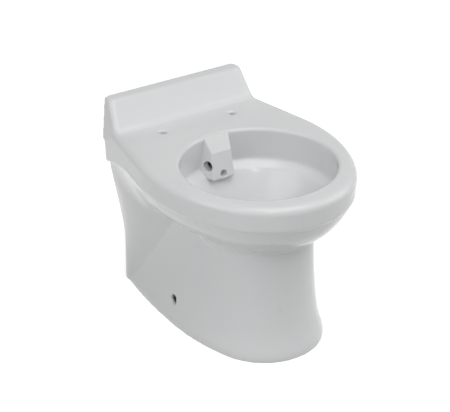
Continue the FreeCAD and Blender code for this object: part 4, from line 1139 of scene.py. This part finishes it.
    def wound_thread(self) -> bpy.types.Object:
        """Wind the thread's outline along the screw, past both of its ends.

        Returns:
            The open thread.
        """
        pitch = self.thread_pitch
        crest = self.thread_radius
        root = crest - self.thread_depth * pitch
        low_end = self.screw_inside if self.side is Side.RIGHT else -self.screw_outside
        turns = math.ceil((self.screw_outside - self.screw_inside) / pitch) + 2
        flanks = [(0.0, root), (0.38, crest), (0.5, crest), (0.88, root), (1.0, root)]
        corners = [(along * pitch, 0.0, radius) for along, radius in flanks]
        thread = drawn_line(f"{self.side.word}_threaded_screw", corners)
        close_mesh()
        apply_modifier(
            thread,
            "SCREW",
            axis="X",
            screw_offset=pitch,
            angle=2 * math.pi,
            iterations=turns,
            steps=self.thread_steps,
            render_steps=self.thread_steps,
            use_merge_vertices=True,
            merge_threshold=SAME_PLACE,
        )
        thread.location = (low_end - pitch, self.middle_y, self.screw_height)
        settle(thread)
        return thread

    def trim_ends(self, thread: bpy.types.Object) -> None:
        """Cut the thread off at the screw's two ends and close it.

        Args:
            thread: the open thread.
        """
        open_mesh(thread)
        for across, outward in ((self.screw_inside, -1.0), (self.screw_outside, 1.0)):
            bpy.ops.mesh.select_all(action="SELECT")
            bpy.ops.mesh.bisect(
                plane_co=self.at(across, self.screw_height),
                plane_no=(outward * self.side.value, 0.0, 0.0),
                use_fill=True,
                clear_outer=True,
            )
        bpy.ops.mesh.select_all(action="SELECT")
        bpy.ops.mesh.normals_make_consistent(inside=False)
        close_mesh()


# Studio


def seen_factor(tree: bpy.types.NodeTree) -> bpy.types.NodeSocket:
    """Add a factor that is 1 for what the camera, gloss and glass see, and 0 for light.

    Args:
        tree: the node tree to add it to.

    Returns:
        The factor's output.
    """
    rays = tree.nodes.new("ShaderNodeLightPath")
    factor = rays.outputs["Is Camera Ray"]
    for kind in ("Is Glossy Ray", "Is Transmission Ray"):
        either = tree.nodes.new("ShaderNodeMath")
        either.operation = "MAXIMUM"
        tree.links.new(factor, either.inputs[0])
        tree.links.new(rays.outputs[kind], either.inputs[1])
        factor = either.outputs[0]
    return factor


@dataclass(frozen=True)
class SoftLamp:
    """A square lamp that looks at the object."""

    name: str
    place: Point
    size: float
    watts: float

    def hang(self, aim: Vector) -> None:
        """Put the lamp up.

        Args:
            aim: the point it looks at.
        """
        data = bpy.data.lights.new(self.name, "AREA")
        data.size = self.size
        data.energy = self.watts
        lamp = bpy.data.objects.new(self.name, data)
        lamp.location = self.place
        lamp.rotation_euler = (aim - Vector(self.place)).to_track_quat("-Z", "Y").to_euler()
        bpy.context.scene.collection.objects.link(lamp)


@dataclass(frozen=True)
class Studio:
    """Pale floor, soft lamps, white surround and the camera."""

    camera_place: Point = (-1.60976, -2.37526, 1.75336)
    camera_pitch: float = 62.098
    camera_yaw: float = -33.524
    camera_lens: float = 139.667
    camera_sensor: float = 36.0
    ambient: float = 0.03
    floor_size: float = 60.0
    floor_tone: float = 0.6
    floor_roughness: float = 0.9
    floor_glow: float = 0.8
    lamp_aim: Point = (0.0, 0.0, 0.2)
    lamps: tuple[SoftLamp, ...] = (
        SoftLamp("key_lamp", (-2.4, -2.6, 2.6), 3.0, 10.0),
        SoftLamp("left_lamp", (-3.6, -0.4, 1.6), 3.0, 43.0),
        SoftLamp("right_lamp", (3.4, -1.6, 2.0), 3.0, 45.0),
        SoftLamp("top_lamp", (0.0, -1.3, 3.4), 3.0, 62.0),
        SoftLamp("glint_lamp", (-1.3, -2.4, 2.6), 0.25, 4.0),
    )

    def set_up(self) -> None:
        """Build the whole studio."""
        self.lay_floor()
        self.paint_world()
        for lamp in self.lamps:
            lamp.hang(Vector(self.lamp_aim))
        self.place_camera()
        bpy.context.scene.view_settings.view_transform = "Standard"

    def lay_floor(self) -> None:
        """Lay a pale floor that looks white to the camera and keeps the shadow."""
        bpy.ops.object.select_all(action="DESELECT")
        bpy.ops.mesh.primitive_plane_add(size=self.floor_size, location=(0.0, 0.0, 0.0))
        floor = bpy.context.object
        floor.name = "studio_floor"
        bench = NodeBench("pale_floor")
        bench.fix("Base Color", (self.floor_tone, self.floor_tone, self.floor_tone, 1.0))
        bench.fix("Roughness", self.floor_roughness)
        strength = bench.add("ShaderNodeMath")
        strength.operation = "MULTIPLY"
        strength.inputs[1].default_value = self.floor_glow
        bench.join(seen_factor(bench.tree), strength.inputs[0])
        glow = bench.add("ShaderNodeEmission", Color=WHITE)
        bench.join(strength.outputs[0], glow.inputs["Strength"])
        total = bench.add("ShaderNodeAddShader")
        bench.join(bench.shader.outputs[0], total.inputs[0])
        bench.join(glow.outputs[0], total.inputs[1])
        bench.join(total.outputs[0], bench.tree.nodes["Material Output"].inputs["Surface"])
        floor.data.materials.append(bench.material)

    def paint_world(self) -> None:
        """Paint a surround that is white to the camera and reflections, and dim as light."""
        world = bpy.data.worlds.new("white_surround")
        bpy.context.scene.world = world
        world.use_nodes = True
        tree = world.node_tree
        glow = tree.nodes["Background"]
        glow.inputs["Color"].default_value = WHITE
        strength = tree.nodes.new("ShaderNodeMapRange")
        strength.inputs["To Min"].default_value = self.ambient
        strength.inputs["To Max"].default_value = 1.0
        tree.links.new(seen_factor(tree), strength.inputs["Value"])
        tree.links.new(strength.outputs["Result"], glow.inputs["Strength"])

    def place_camera(self) -> None:
        """Stand the camera where the photograph was taken from."""
        data = bpy.data.cameras.new("photo_camera")
        data.sensor_fit = "HORIZONTAL"
        data.sensor_width = self.camera_sensor
        data.lens = self.camera_lens
        camera = bpy.data.objects.new("photo_camera", data)
        camera.location = self.camera_place
        camera.rotation_euler = (math.radians(self.camera_pitch), 0.0, math.radians(self.camera_yaw))
        bpy.context.scene.collection.objects.link(camera)
        bpy.context.scene.camera = camera


def main() -> None:
    """Build every piece in order, then the studio."""
    logging.basicConfig(level=logging.INFO, format="%(message)s")
    rack = FinishRack.mixed()
    ChinaCasting().build(rack)
    PipeWork().build(rack)
    for side in Side:
        FloorFixing(side).build(rack)
    Studio().set_up()


if __name__ == "__main__":
    main()
